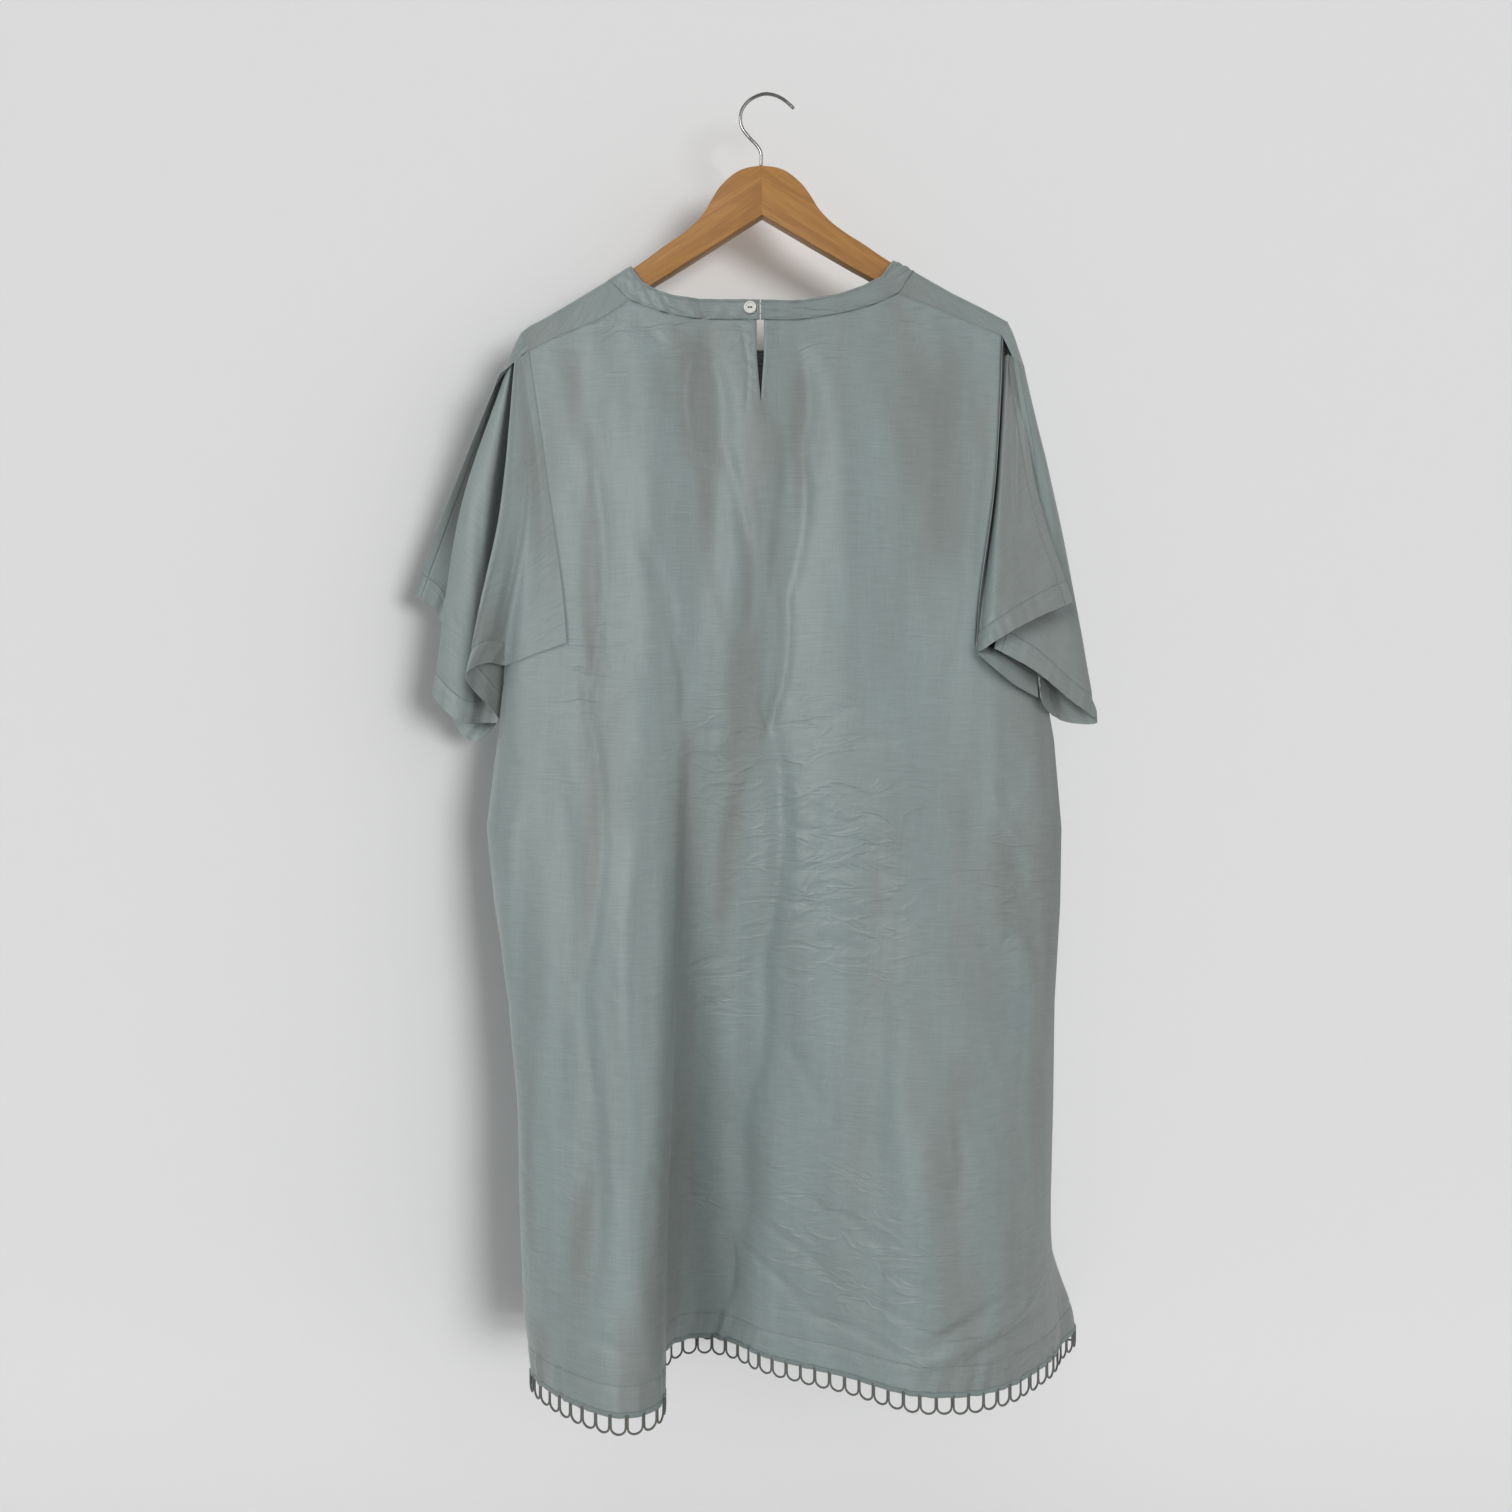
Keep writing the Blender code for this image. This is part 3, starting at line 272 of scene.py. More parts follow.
RIGHT_BACK_SLEEVE = (
    ("crevice", (21.8, -0.3, -23.9), (20.8, 0.0, -37.2), (18.85, -3.0, -51.25)),
    ("near fold", (21.9, -0.9, -24.0), (20.95, -1.5, -37.5), (19.2, -3.9, -51.0)),
    ("panel", (22.1, -0.9, -24.1), (22.0, -1.6, -37.5), (21.2, -4.2, -49.7)),
    ("outer panel", (22.3, -0.95, -24.2), (23.2, -1.7, -37.2), (24.0, -4.0, -48.2)),
    ("slit edge", (22.5, -1.0, -24.3), (24.5, -1.8, -37.1), (27.2, -3.2, -46.8)),
)
RIGHT_STRIP_HEM = (
    (18.8, -3.3, -51.45),
    (20.3, -3.2, -52.7),
    (21.9, -2.6, -53.9),
    (23.2, -2.1, -54.6),
    (24.45, -1.75, -55.2),
)
STRIP_SHARE = 0.94
STRIP_STAND_OFF = 0.24
STRIP_ASIDE = 0.08
RIGHT_FRONT_SLEEVE = (
    ("seam middle", (22.4, 0.75, -22.2), (21.6, 1.8, -38.0), (22.7, 1.4, -51.4)),
    ("underarm", (22.5, 0.85, -22.7), (22.8, 1.8, -38.5), (24.85, -0.35, -51.95)),
    ("inner foot", (22.9, 0.8, -23.4), (24.3, 1.1, -39.0), (24.75, -1.65, -55.3)),
    ("foot", (23.2, 0.5, -24.1), (25.6, 1.4, -39.2), (27.0, -0.1, -57.2)),
    ("outer fold", (23.4, 0.0, -24.8), (26.9, 0.4, -39.0), (30.1, -0.6, -57.4)),
    ("near wing", (23.4, -0.7, -25.0), (26.1, -0.7, -38.5), (27.2, -1.8, -55.3)),
    ("near inner", (22.9, -1.5, -25.0), (25.0, -0.9, -38.0), (23.9, -2.6, -52.8)),
    ("slit edge", (22.2, -1.9, -24.6), (23.9, -0.9, -37.6), (20.2, -3.3, -50.9)),
)

# How far a front half bulges out over its shoulder, and the rows of cloth there
CAP_BULGE = 0.22
CAP_ROWS = 16
# Lifts the seam along a sleeve's foot clear of the hem's marks
UNDERARM_LIFT = 3.0
# Edges that turn by more than this are shaded sharp
RIM_ANGLE = math.radians(60)
SLEEVE_CRUMPLE = 0.1
# Shares of warm tone on the front's wrap behind the shoulders' ridge, and on the right back half, which is
# tinted darker there as painted shade
YOKE_WARMTH = 0.45
PAINTED_PANEL_SHADE = 1.3

# Cells of the panels' grids: for each line of the cloth, above the underarm and below it
BACK_CELLS = (12, 80, 170)
FRONT_CELLS = (10, 60, 130)
# Rows of the front's wrap, behind the ridge and in front of it
WRAP_ROWS = (14, 8)
# The keyhole slit's place across, and the points along the band
SLIT_X = -0.57
BAND_STATIONS = 520
# How far stitches lie over the cloth, and over the band
STITCH_LIFT = 0.045
BAND_STITCH_LIFT = 0.075
BAND_STITCH_ROW = 1.6
# Columns of a sleeve half that have no hem below them
SLEEVE_SEAM_COLUMNS = 28

# Soft folds of the back, as lines on it: x and depth at both ends, half width, and how far the line
# stands out towards the viewer, which is negative for a hollow
FOLDS = (
    # x, depth, x, depth, half width, height
    (-16.0, 32.0, -16.1, 56.0, 0.5, -0.14),
    (-16.1, 54.0, -16.2, 82.0, 0.6, -0.2),
    (-16.2, 80.0, -17.0, 104.0, 0.9, -0.3),
    (-11.2, 41.0, -8.2, 50.0, 0.8, -0.26),
    (-8.2, 49.0, -7.6, 58.0, 0.7, -0.22),
    (-5.4, 23.5, -4.2, 32.5, 0.9, -0.24),
    (-4.2, 32.0, -2.2, 42.0, 0.8, -0.22),
    (-2.3, 38.0, -1.8, 50.0, 0.7, -0.2),
    (3.0, 23.5, 3.0, 33.0, 0.9, -0.3),
    (3.0, 32.0, 1.6, 47.0, 0.6, -0.24),
    (1.6, 45.0, 0.2, 58.0, 0.5, -0.34),
    (0.2, 56.0, -0.5, 79.0, 1.0, -0.42),
    (-0.5, 77.0, -2.8, 95.0, 1.0, -0.36),
    (-2.8, 93.0, -3.8, 110.0, 1.0, -0.3),
    (9.0, 67.0, 9.4, 82.0, 1.2, -0.26),
    (9.4, 80.0, 8.0, 98.0, 1.4, -0.32),
    (16.4, 92.0, 16.4, 99.0, 0.7, -0.22),
    (-10.6, 66.0, -10.4, 92.0, 1.3, 0.26),
    (-10.2, 92.0, -9.6, 112.0, 0.9, 0.24),
    (4.6, 60.0, 5.0, 90.0, 1.8, 0.3),
    (13.2, 76.0, 14.0, 104.0, 1.8, 0.26),
    (20.4, 30.0, 18.9, 49.0, 0.6, 0.12),
    (-19.0, 60.0, -19.6, 96.0, 1.4, -0.24),
    (-22.0, 64.0, -21.2, 92.0, 0.9, 0.2),
    (21.6, 68.0, 24.6, 82.0, 0.9, -0.2),
    (20.6, 74.0, 24.4, 77.5, 0.5, -0.14),
    (19.6, 62.0, 23.6, 70.0, 0.7, 0.14),
    (7.2, 24.0, 7.6, 40.0, 1.6, 0.16),
    (-13.6, 26.0, -12.6, 40.0, 1.2, 0.14),
    (10.8, 26.0, 11.6, 44.0, 1.1, -0.14),
    (16.4, 28.0, 15.6, 46.0, 1.2, 0.14),
    (-1.8, 60.0, -4.6, 74.0, 0.8, 0.14),
    (24.0, 88.0, 22.4, 104.0, 1.0, -0.2),
    (-6.6, 78.0, -7.0, 96.0, 0.9, -0.16),
    (18.6, 44.0, 14.8, 56.0, 0.8, -0.12),
)

# Short sharp creases, in the same columns
CREASES = (
    (12.0, 112.6, 17.0, 110.6, 0.5, 0.3),
    (17.0, 110.6, 24.4, 107.6, 0.5, 0.34),
    (16.4, 112.6, 24.6, 109.8, 0.42, -0.3),
    (13.4, 111.4, 24.2, 106.2, 0.5, -0.26),
    (3.0, 110.2, 12.4, 112.2, 0.4, -0.2),
    (-8.4, 105.4, -4.6, 103.0, 0.36, -0.14),
    (-3.6, 104.6, -3.4, 110.6, 0.34, -0.24),
    (-3.2, 105.0, 4.4, 110.4, 0.42, -0.2),
    (-20.4, 108.8, -9.4, 110.6, 0.44, -0.14),
    (-15.2, 86.0, -15.9, 110.0, 0.6, -0.2),
    (1.5, 67.0, 7.0, 67.9, 0.32, -0.095),
    (7.0, 67.9, 12.6, 70.0, 0.38, -0.114),
    (7.6, 59.4, 11.8, 59.2, 0.29, -0.095),
    (1.9, 70.9, 6.2, 70.6, 0.32, -0.095),
    (5.6, 70.4, 13.2, 71.8, 0.32, -0.095),
    (1.0, 73.2, 6.6, 74.6, 0.38, -0.114),
    (6.6, 74.6, 11.6, 74.9, 0.32, -0.076),
    (5.6, 56.9, 9.0, 56.0, 0.32, -0.076),
    (2.6, 58.0, 6.0, 58.4, 0.32, -0.076),
    (2.2, 69.2, 5.0, 69.8, 0.29, 0.076),
    (-5.8, 60.6, -1.4, 61.4, 0.32, -0.095),
    (-5.2, 62.0, -0.8, 62.4, 0.29, -0.076),
    (-6.6, 58.6, -3.0, 58.2, 0.32, -0.076),
    (3.4, 76.6, 9.0, 78.2, 0.35, -0.095),
    (9.8, 72.8, 12.0, 76.2, 0.35, -0.095),
    (5.2, 100.2, 10.6, 103.6, 0.38, -0.114),
    (2.8, 98.8, 7.0, 103.4, 0.38, -0.114),
    (-0.6, 102.6, 6.8, 107.6, 0.43, -0.133),
    (6.8, 107.6, 13.6, 109.6, 0.43, -0.114),
    (8.8, 105.2, 15.8, 107.0, 0.38, -0.095),
    (13.6, 110.4, 22.6, 108.6, 0.46, -0.19),
    (15.0, 112.2, 23.0, 111.0, 0.38, 0.114),
    (19.8, 70.8, 23.2, 74.0, 0.38, -0.114),
    (20.4, 77.4, 23.8, 76.0, 0.35, -0.095),
    (21.4, 72.6, 24.8, 71.6, 0.32, 0.095),
    (-6.4, 79.4, -3.2, 78.6, 0.35, -0.095),
    (-6.0, 82.0, -2.8, 80.6, 0.35, 0.095),
    (-6.8, 84.0, -3.6, 82.6, 0.32, -0.095),
    (-22.4, 96.0, -19.2, 101.0, 0.38, -0.095),
    (-21.0, 104.0, -17.0, 108.6, 0.41, -0.114),
    (-16.0, 48.0, -15.6, 55.0, 0.32, -0.095),
    (-14.8, 50.0, -14.6, 56.0, 0.29, -0.076),
    (-17.2, 51.4, -16.0, 58.4, 0.35, -0.095),
    (-6.6, 24.4, -6.4, 32.6, 0.32, 0.095),
    (-3.6, 21.5, -1.0, 22.2, 0.24, -0.114),
    (-3.2, 22.3, -1.1, 22.8, 0.24, 0.076),
    (-2.3, 23.2, -1.1, 24.0, 0.24, -0.095),
    (-2.2, 24.5, -1.0, 25.4, 0.26, -0.114),
    (-2.1, 25.9, -1.0, 26.7, 0.24, -0.095),
    (-2.0, 27.1, -0.9, 27.9, 0.24, -0.095),
    (-1.9, 28.3, -0.8, 28.9, 0.24, -0.076),
    (0.0, 22.2, 1.8, 21.5, 0.24, -0.114),
    (0.1, 22.9, 1.5, 22.5, 0.24, 0.057),
    (0.6, 22.0, 1.6, 24.0, 0.24, -0.076),
    (-8.6, 21.7, -5.4, 23.6, 0.24, -0.133),
    (-8.2, 21.3, -5.9, 22.4, 0.24, 0.095),
    (-12.0, 21.2, -9.4, 23.2, 0.35, -0.114),
    (-0.9, 55.4, 0.1, 58.4, 0.24, -0.133),
    (0.6, 55.0, 0.1, 58.2, 0.24, -0.114),
    (14.0, 21.2, 18.8, 22.6, 0.26, -0.095),
    (13.2, 22.4, 18.4, 23.8, 0.29, -0.095),
    (14.2, 23.9, 19.2, 24.6, 0.29, 0.076),
    (1.6, 86.0, 4.8, 92.0, 0.43, -0.114),
    (-2.35, 21.7, -1.95, 29.6, 0.15, -0.07),
    (-1.95, 29.7, 0.9, 29.7, 0.2, -0.06),
    (0.95, 29.6, 1.0, 21.7, 0.15, -0.06),
    (-9.4, 96.0, -6.8, 101.6, 0.38, -0.114),
)

# Patches of fine crumpling: x, depth, reach across, reach down, strength
CRUMPLED = (
    (6.0, 69.0, 9.0, 11.0, 1.0),
    (-3.6, 62.0, 5.0, 7.0, 0.8),
    (-5.0, 81.0, 4.0, 6.0, 0.8),
    (22.6, 74.0, 4.0, 8.0, 0.9),
    (6.0, 104.0, 10.0, 8.0, 0.8),
    (18.0, 110.0, 9.0, 4.0, 0.8),
    (-20.0, 104.0, 5.0, 10.0, 0.7),
    (-6.0, 104.0, 4.0, 9.0, 0.7),
    (-15.8, 53.0, 3.0, 6.0, 0.6),
    (0.0, 22.0, 24.0, 3.0, 0.6),
    (15.0, 20.0, 6.0, 3.0, 0.9),
    (-17.0, 21.0, 6.0, 3.0, 0.8),
)

# Bands of painted sheen and shade, where the cloth is tinted warmer and darker: x, depth, x, depth, half
# width, share
PAINTED_SHEEN_SHADE_BANDS = (
    (-17.6, 22.0, -15.4, 34.0, 1.5, 0.9),
    (-15.4, 32.0, -14.6, 56.0, 0.6, 0.5),
    (-6.4, 22.6, -5.0, 34.0, 1.6, 0.9),
    (-5.0, 33.0, -2.8, 52.0, 1.0, 0.7),
    (4.2, 24.0, 3.2, 36.0, 1.2, 0.9),
    (3.2, 35.0, 1.4, 52.0, 0.7, 0.5),
    (14.6, 24.0, 16.8, 44.0, 3.6, 0.6),
    (9.0, 78.0, 7.6, 100.0, 1.8, 0.5),
    (16.8, 86.0, 16.4, 100.0, 1.6, 0.7),
    (21.6, 66.0, 23.4, 78.0, 1.8, 0.5),
    (-14.4, 88.0, -14.8, 108.0, 1.6, 0.5),
    (-9.6, 24.0, -9.0, 30.0, 1.0, 0.4),
    (-14.8, 96.0, -16.0, 116.0, 1.3, 1.2),
    (-19.6, 84.0, -19.8, 106.0, 0.9, 1.0),
    (-19.0, 108.0, -18.2, 120.0, 1.5, 1.4),
)

# Hems and stitching
BODY_HEM = 2.3
SLEEVE_HEM = 2.1
SLIT_HEM = 0.7
STITCH_PITCH = 0.28
STITCH_LENGTH = 0.19
STITCH_RADIUS = 0.026

# Loop trim along the hem
TRIM_LOOPS = {"back": 54, "front": 44}
TRIM_DROP = 1.62
TRIM_HEADER = 0.45
TRIM_CORD = 0.092

# Hanger
HANGER_X = -0.5
HANGER_THICKNESS = 1.15
HANGER_ROUNDING = 0.3
HANGER_UNDER_ROUNDING = 0.07
JOINT_GAP = 0.004
HANGER_TILT = math.radians(1.1)
HANGER_PIVOT_DEPTH = 6.5
HANGER_TOP = (
    # distance from the centre, depth
    (0.0, 6.55),
    (1.4, 6.75),
    (2.5, 7.25),
    (3.75, 8.35),
    (4.55, 9.5),
    (5.25, 10.65),
    (6.35, 11.85),
    (7.7, 12.9),
    (9.3, 13.95),
    (11.9, 15.75),
    (20.0, 20.75),
    (20.9, 21.4),
    (21.3, 22.1),
)
HANGER_UNDER = (
    (21.2, 22.9),
    (20.6, 23.4),
    (19.8, 23.3),
    (10.4, 17.4),
    (8.3, 16.2),
    (4.4, 13.85),
    (2.3, 12.55),
    (0.0, 11.15),
)
GRAIN_SLOPE = math.radians(33)
WIRE_RADIUS = 0.175
HOOK_ROUTE = (
    # x, z of the wire's centre
    (-0.5, -6.52),
    (-0.5, -5.3),
    (-0.85, -4.6),
    (-1.6, -3.8),
    (-2.2, -3.0),
    (-2.4, -2.1),
    (-2.2, -1.2),
    (-1.6, -0.45),
    (-0.8, 0.0),
    (0.0, WIRE_RADIUS),
    (0.9, 0.0),
    (1.7, -0.45),
    (2.5, -1.15),
)
BUTTON_AT = (-1.5, -20.1)
BUTTON_RADIUS = 0.58
BUTTON_THICKNESS = 0.24
BUTTON_HOLE_RADIUS = 0.085
BUTTON_THREAD = (0.05, 0.05, 0.045)
BUTTON_HOLE_SPACING = 0.27
LOOP_CORD_RADIUS = 0.05
LOOP_ROUTE = (
    # x, z
    (-0.3, -19.8),
    (-0.6, -19.72),
    (-0.79, -19.92),
    (-0.82, -20.2),
    (-0.74, -20.48),
    (-0.56, -20.62),
    (-0.3, -20.6),
)

# Camera and stage
CAMERA_AT = (-0.0096, -1.10, -0.6046)
CAMERA_LENS = 28.6
WALL_Y = 0.064
FLOOR_Z = -1.55
WORLD_STRENGTH = 0.29
LIGHTS = (
    # name, way it shines, angle across in degrees, strength, what it lights
    ("key_light", (0.58, 1.0, -0.34), 28.0, 1.58, "dress"),
    ("side_light", (-0.9, 1.0, -0.3), 50.0, 0.82, "dress"),
    ("wall_light", (-0.68, 1.0, -0.04), 20.0, 1.42, "stage"),
    ("wall_glow", (-1.2, 1.0, -0.1), 60.0, 0.98, "stage"),
    ("rear_light", (0.4, -1.0, -0.45), 50.0, 1.7, "dress"),
)


# Settings that a user would change


def colour(name, description, default):
    return bpy.props.FloatVectorProperty(
        name=name, description=description, default=default, size=3, subtype="COLOR"
    )


class DressSettings(bpy.types.PropertyGroup):
    """Cloth of the dress."""

    cloth_thickness: bpy.props.FloatProperty(
        name="Cloth thickness",
        description="Thickness of one layer of cloth",
        default=0.0007,
        min=0.0002,
        max=0.002,
        unit="LENGTH",
    )
    cool_colour: colour("Cool thread", "Colour of the cloth's cool thread", (0.232, 0.285, 0.280))
    warm_colour: colour("Warm thread", "Colour of the cloth's warm thread", (0.205, 0.226, 0.217))
    fold_strength: bpy.props.FloatProperty(
        name="Fold strength",
        description="How far the soft folds and creases stand out",
        default=1.0,
        min=0.0,
        max=2.0,
        subtype="FACTOR",
    )


class TrimSettings(bpy.types.PropertyGroup):
    """Loop trim and stitches."""

    cord_colour: colour("Cord colour", "Colour of the trim's cord", (0.115, 0.123, 0.110))
    thread_colour: colour("Thread colour", "Colour of the sewing thread", (0.30, 0.36, 0.34))
    stitch_pitch: bpy.props.FloatProperty(
        name="Stitch pitch",
        description="Distance from one stitch to the next",
        default=STITCH_PITCH * CM,
        min=0.001,
        max=0.01,
        unit="LENGTH",
    )


class HangerSettings(bpy.types.PropertyGroup):
    """Wood and wire."""

    light_wood: colour("Light wood", "Colour of the wood between its growth rings", (0.43, 0.215, 0.062))
    dark_wood: colour("Dark wood", "Colour of the wood's growth rings", (0.31, 0.142, 0.038))


# Smooth curves through the tables


def spline_weights(knots, t):
    """How much each knot's row counts in the smooth curve at each t."""
    knots = np.asarray(knots, dtype=float)
    t = np.asarray(t, dtype=float).ravel()
    last = len(knots) - 1
    k = np.clip(np.searchsorted(knots, t, side="left") - 1, 0, last - 1)
    span = knots[k + 1] - knots[k]
    f = np.clip((t - knots[k]) / span, 0.0, 1.0)
    f2, f3 = f * f, f * f * f
    weights = np.zeros((len(t), last + 1))
    rows = np.arange(len(t))
    weights[rows, k] += 2 * f3 - 3 * f2 + 1
    weights[rows, k + 1] += 3 * f2 - 2 * f3
    for at, share in ((k, f3 - 2 * f2 + f), (k + 1, f3 - f2)):
        low, high = np.maximum(at - 1, 0), np.minimum(at + 1, last)
        slope = share * span / (knots[high] - knots[low])
        np.add.at(weights, (rows, high), slope)
        np.add.at(weights, (rows, low), -slope)
    return weights


def between(table, t, column=1):
    """Straight interpolation of one column of a table at t in its first column."""
    return np.interp(t, [row[0] for row in table], [row[column] for row in table])


def read_line(places, known, points):
    """Points of a line at places along it, from its own points at known places."""
    return np.stack([np.interp(places, known, points[:, c]) for c in range(3)], axis=-1)


def ease(t):
    """Smooth rise from 0 to 1."""
    t = np.clip(t, 0.0, 1.0)
    return t * t * (3 - 2 * t)


def line_table(lines):
    """Places of a panel's lines as an array: level, line, x and y."""
    return np.array([[row[1 + level] for row in lines] for level in range(len(LEVELS))])


BACK = line_table(BACK_LINES)
FRONT = line_table(FRONT_LINES)


def section_points(lines, s, depth):
    """The cloth's x and y at line numbers s and depths."""
    s, depth = np.broadcast_arrays(np.asarray(s, dtype=float), np.asarray(depth, dtype=float))
    shape = s.shape
    s, depth = s.ravel(), depth.ravel()
    last = lines.shape[1] - 1
    levels = spline_weights(LEVELS, depth)
    across = spline_weights(np.arange(last + 1), s)
    rows = np.einsum("pl,lsc->psc", levels, lines)
    point = np.einsum("ps,psc->pc", across, rows)
    low = depth > SIDE_OUTLINE[0][0]
    left = between(SIDE_OUTLINE, depth, 1) - rows[:, 0, 0]
    right = between(SIDE_OUTLINE, depth, 2) - rows[:, last, 0]
    shift = left * ease(1 - s / SIDE_REACH) + right * ease(1 - (last - s) / SIDE_REACH)
    point[:, 0] += np.where(low, shift, 0.0)
    share = ease((depth - FLARE_START) / (HEM_DEPTH - FLARE_START))
    if lines is FRONT:
        share = share * ease(1 - np.abs(s - FLARE_LINE) / FLARE_REACH)
    else:
        share = share * ease(1 - 1 / FLARE_REACH) * ease(1 - (last - s) / FLARE_REACH)
    point[:, 0] += FLARE_OUT * share
    point[:, 1] += FLARE_BACK * share
    return point[:, 0].reshape(shape), point[:, 1].reshape(shape)


def stand_off_table(lines):
    """How far a panel stands from the hanger's plane, for depths and places across."""
    depths = np.linspace(LEVELS[0], LEVELS[0] + 10.0, 21)
    places = np.linspace(-24.0, 24.0, 385)
    s = np.linspace(2.0, lines.shape[1] - 3.0, 600)
    found = []
    for depth in depths:
        x, y = section_points(lines, s, depth)
        found.append(np.interp(places, x, np.abs(y)))
    return depths, places, np.array(found)


STAND_OFF = {"back": stand_off_table(BACK), "front": stand_off_table(FRONT)}


def stand_off(which, x, depth):
    """How far a panel stands from the hanger's plane at places across and depths."""
    depths, places, table = STAND_OFF[which]
    row = np.clip((depth - depths[0]) / (depths[1] - depths[0]), 0, len(depths) - 1.001)
    column = np.clip((x - places[0]) / (places[1] - places[0]), 0, len(places) - 1.001)
    i, j = row.astype(int), column.astype(int)
    f, g = row - i, column - j
    top = table[i, j] * (1 - g) + table[i, j + 1] * g
    bottom = table[i + 1, j] * (1 - g) + table[i + 1, j + 1] * g
    return top * (1 - f) + bottom * f


def draped(x, drop, side):
    """Points of the shoulder cloth, drops below its ridge; side is -1 behind, 1 in front."""
    x, drop = np.broadcast_arrays(np.asarray(x, dtype=float), np.asarray(drop, dtype=float))
    depth = between(RIDGE, x) + drop
    short = np.maximum(RIDGE_RADIUS - np.maximum(drop, 0.0), 0.0)
    round_off = np.sqrt(RIDGE_RADIUS**2 - short**2)
    which = "back" if side < 0 else "front"
    out = stand_off(which, x, np.maximum(depth, LEVELS[0])) - RIDGE_RADIUS
    y = round_off + out * ease(drop / RIDGE_SETTLE)
    return np.stack((x, side * y, -depth), axis=-1)


def on_panel(lines, s, depth):
    """Points of a panel, which lies closer to the hanger near the shoulder's ridge."""
    s, depth = np.broadcast_arrays(np.asarray(s, dtype=float), np.asarray(depth, dtype=float))
    x, y = section_points(lines, s, depth)
    drop = depth - between(RIDGE, x)
    near = (depth < LEVELS[1]) & (drop < RIDGE_SETTLE)
    flat = np.stack((x, y, -depth), axis=-1)
    hung = draped(x, drop, -1 if lines is BACK else 1)
    return np.where(near[..., None], hung, flat)


def panel_top(lines, s):
    """Depth of a panel's top edge at line numbers s."""
    x, _ = section_points(lines, s, LEVELS[0])
    if lines is BACK:
        return between(BACK_TOP, x)
    neck = (s >= FRONT_NECK[0]) & (s <= FRONT_NECK[1])
    return np.where(neck, between(FRONT_TOP, x), between(RIDGE, x) + RIDGE_RADIUS)


def underarm(lines, s):
    """Depth of a panel's underarm at line numbers s."""
    return between(BACK_UNDERARM if lines is BACK else FRONT_UNDERARM, s)


# Meshes


def unit(vectors):
    """Vectors of length one, the same ways."""
    return vectors / np.maximum(np.linalg.norm(vectors, axis=-1, keepdims=True), 1e-9)


def grid_normals(points, outward):
    """Unit normals of a grid of points, turned towards the outward direction."""
    down = np.gradient(points, axis=0)
    along = np.gradient(points, axis=1)
    normals = unit(np.cross(down, along))
    turned = np.sign(np.sum(np.mean(normals.reshape(-1, 3), axis=0) * np.array(outward))) or 1.0
    return normals * turned


def run_lengths(points, axis):
    """Running length along one axis of a grid of points."""
    steps = np.linalg.norm(np.diff(points, axis=axis), axis=-1)
    start = np.zeros_like(np.take(steps, [0], axis=axis))
    return np.concatenate((start, np.cumsum(steps, axis=axis)), axis=axis)


def heights(points):
    """Running length from the last row of a grid up to each point."""
    return run_lengths(points[::-1], 0)[::-1]


def insets(points):
    """Running length from the last column of a grid in to each point."""
    return run_lengths(points[:, ::-1], 1)[:, ::-1]


def all_cells(points):
    """Marks every cell of a grid as cloth."""
    return np.ones((points.shape[0] - 1, points.shape[1] - 1), dtype=bool)


def linked(name, mesh, collection):
    """An object of a mesh in a collection."""
    made = bpy.data.objects.new(name, mesh)
    collection.objects.link(made)
    return made


def closed_work(name, work):
    """The mesh of a bmesh, which is freed."""
    mesh = bpy.data.meshes.new(name)
    work.to_mesh(mesh)
    work.free()
    return mesh


def sheet_mesh(name, grids, collection, thickness, soft_rim=False):
    """One cloth object from grids of points in centimetres, each with its own UVs and kept cells.

    A grid is a dict of points, u, v, keep and, where the cloth has them, crumple and warm. A soft rim
    is shaded round, so that the seam along it shows as a fine line.
    """
    vertices, faces, corner_uv = [], [], []
    marks = {"crumple": [], "warm": []}
    for grid in grids:
        points = grid["points"]
        rows, columns = points.shape[:2]
        start = len(vertices)
        used = np.zeros((rows, columns), dtype=bool)
        keep = grid["keep"]
        used[:-1, :-1] |= keep
        used[1:, :-1] |= keep
        used[:-1, 1:] |= keep
        used[1:, 1:] |= keep
        index = np.full((rows, columns), -1)
        index[used] = start + np.arange(used.sum())
        vertices.extend((points[used] * CM).tolist())
        for key, values in marks.items():
            values.extend(grid.get(key, np.zeros((rows, columns)))[used].tolist())
        i, j = np.nonzero(keep)
        quads = np.stack((index[i, j], index[i + 1, j], index[i + 1, j + 1], index[i, j + 1]), axis=1)
        if grid.get("flip"):
            quads = quads[:, ::-1]
        faces.extend(quads.tolist())
        corners = ((0, 0), (1, 0), (1, 1), (0, 1))
        if grid.get("flip"):
            corners = corners[::-1]
        u = np.stack([grid["u"][i + a, j + b] for a, b in corners], axis=1)
        v = np.stack([grid["v"][i + a, j + b] for a, b in corners], axis=1)
        corner_uv.append(np.stack((u.ravel(), v.ravel()), axis=1) * CM)
    mesh = bpy.data.meshes.new(name)
    mesh.from_pydata(vertices, [], faces)
    layer = mesh.uv_layers.new(name="cut")
    layer.data.foreach_set("uv", np.concatenate(corner_uv).ravel().astype(np.float32))
    for key, values in marks.items():
        mark = mesh.attributes.new(key, "FLOAT", "POINT")
        mark.data.foreach_set("value", np.array(values, dtype=np.float32))
    if len(grids) > 1:
        work = bmesh.new()
        work.from_mesh(mesh)
        bmesh.ops.remove_doubles(work, verts=work.verts, dist=0.00002)
        work.to_mesh(mesh)
        work.free()
    mesh.shade_smooth()
    made = linked(name, mesh, collection)
    wall = made.modifiers.new("cloth thickness", "SOLIDIFY")
    wall.thickness = thickness
    wall.offset = 0.0
    made = settled(made)
    if not soft_rim:
        made.data.set_sharp_from_angle(angle=RIM_ANGLE)
    return made


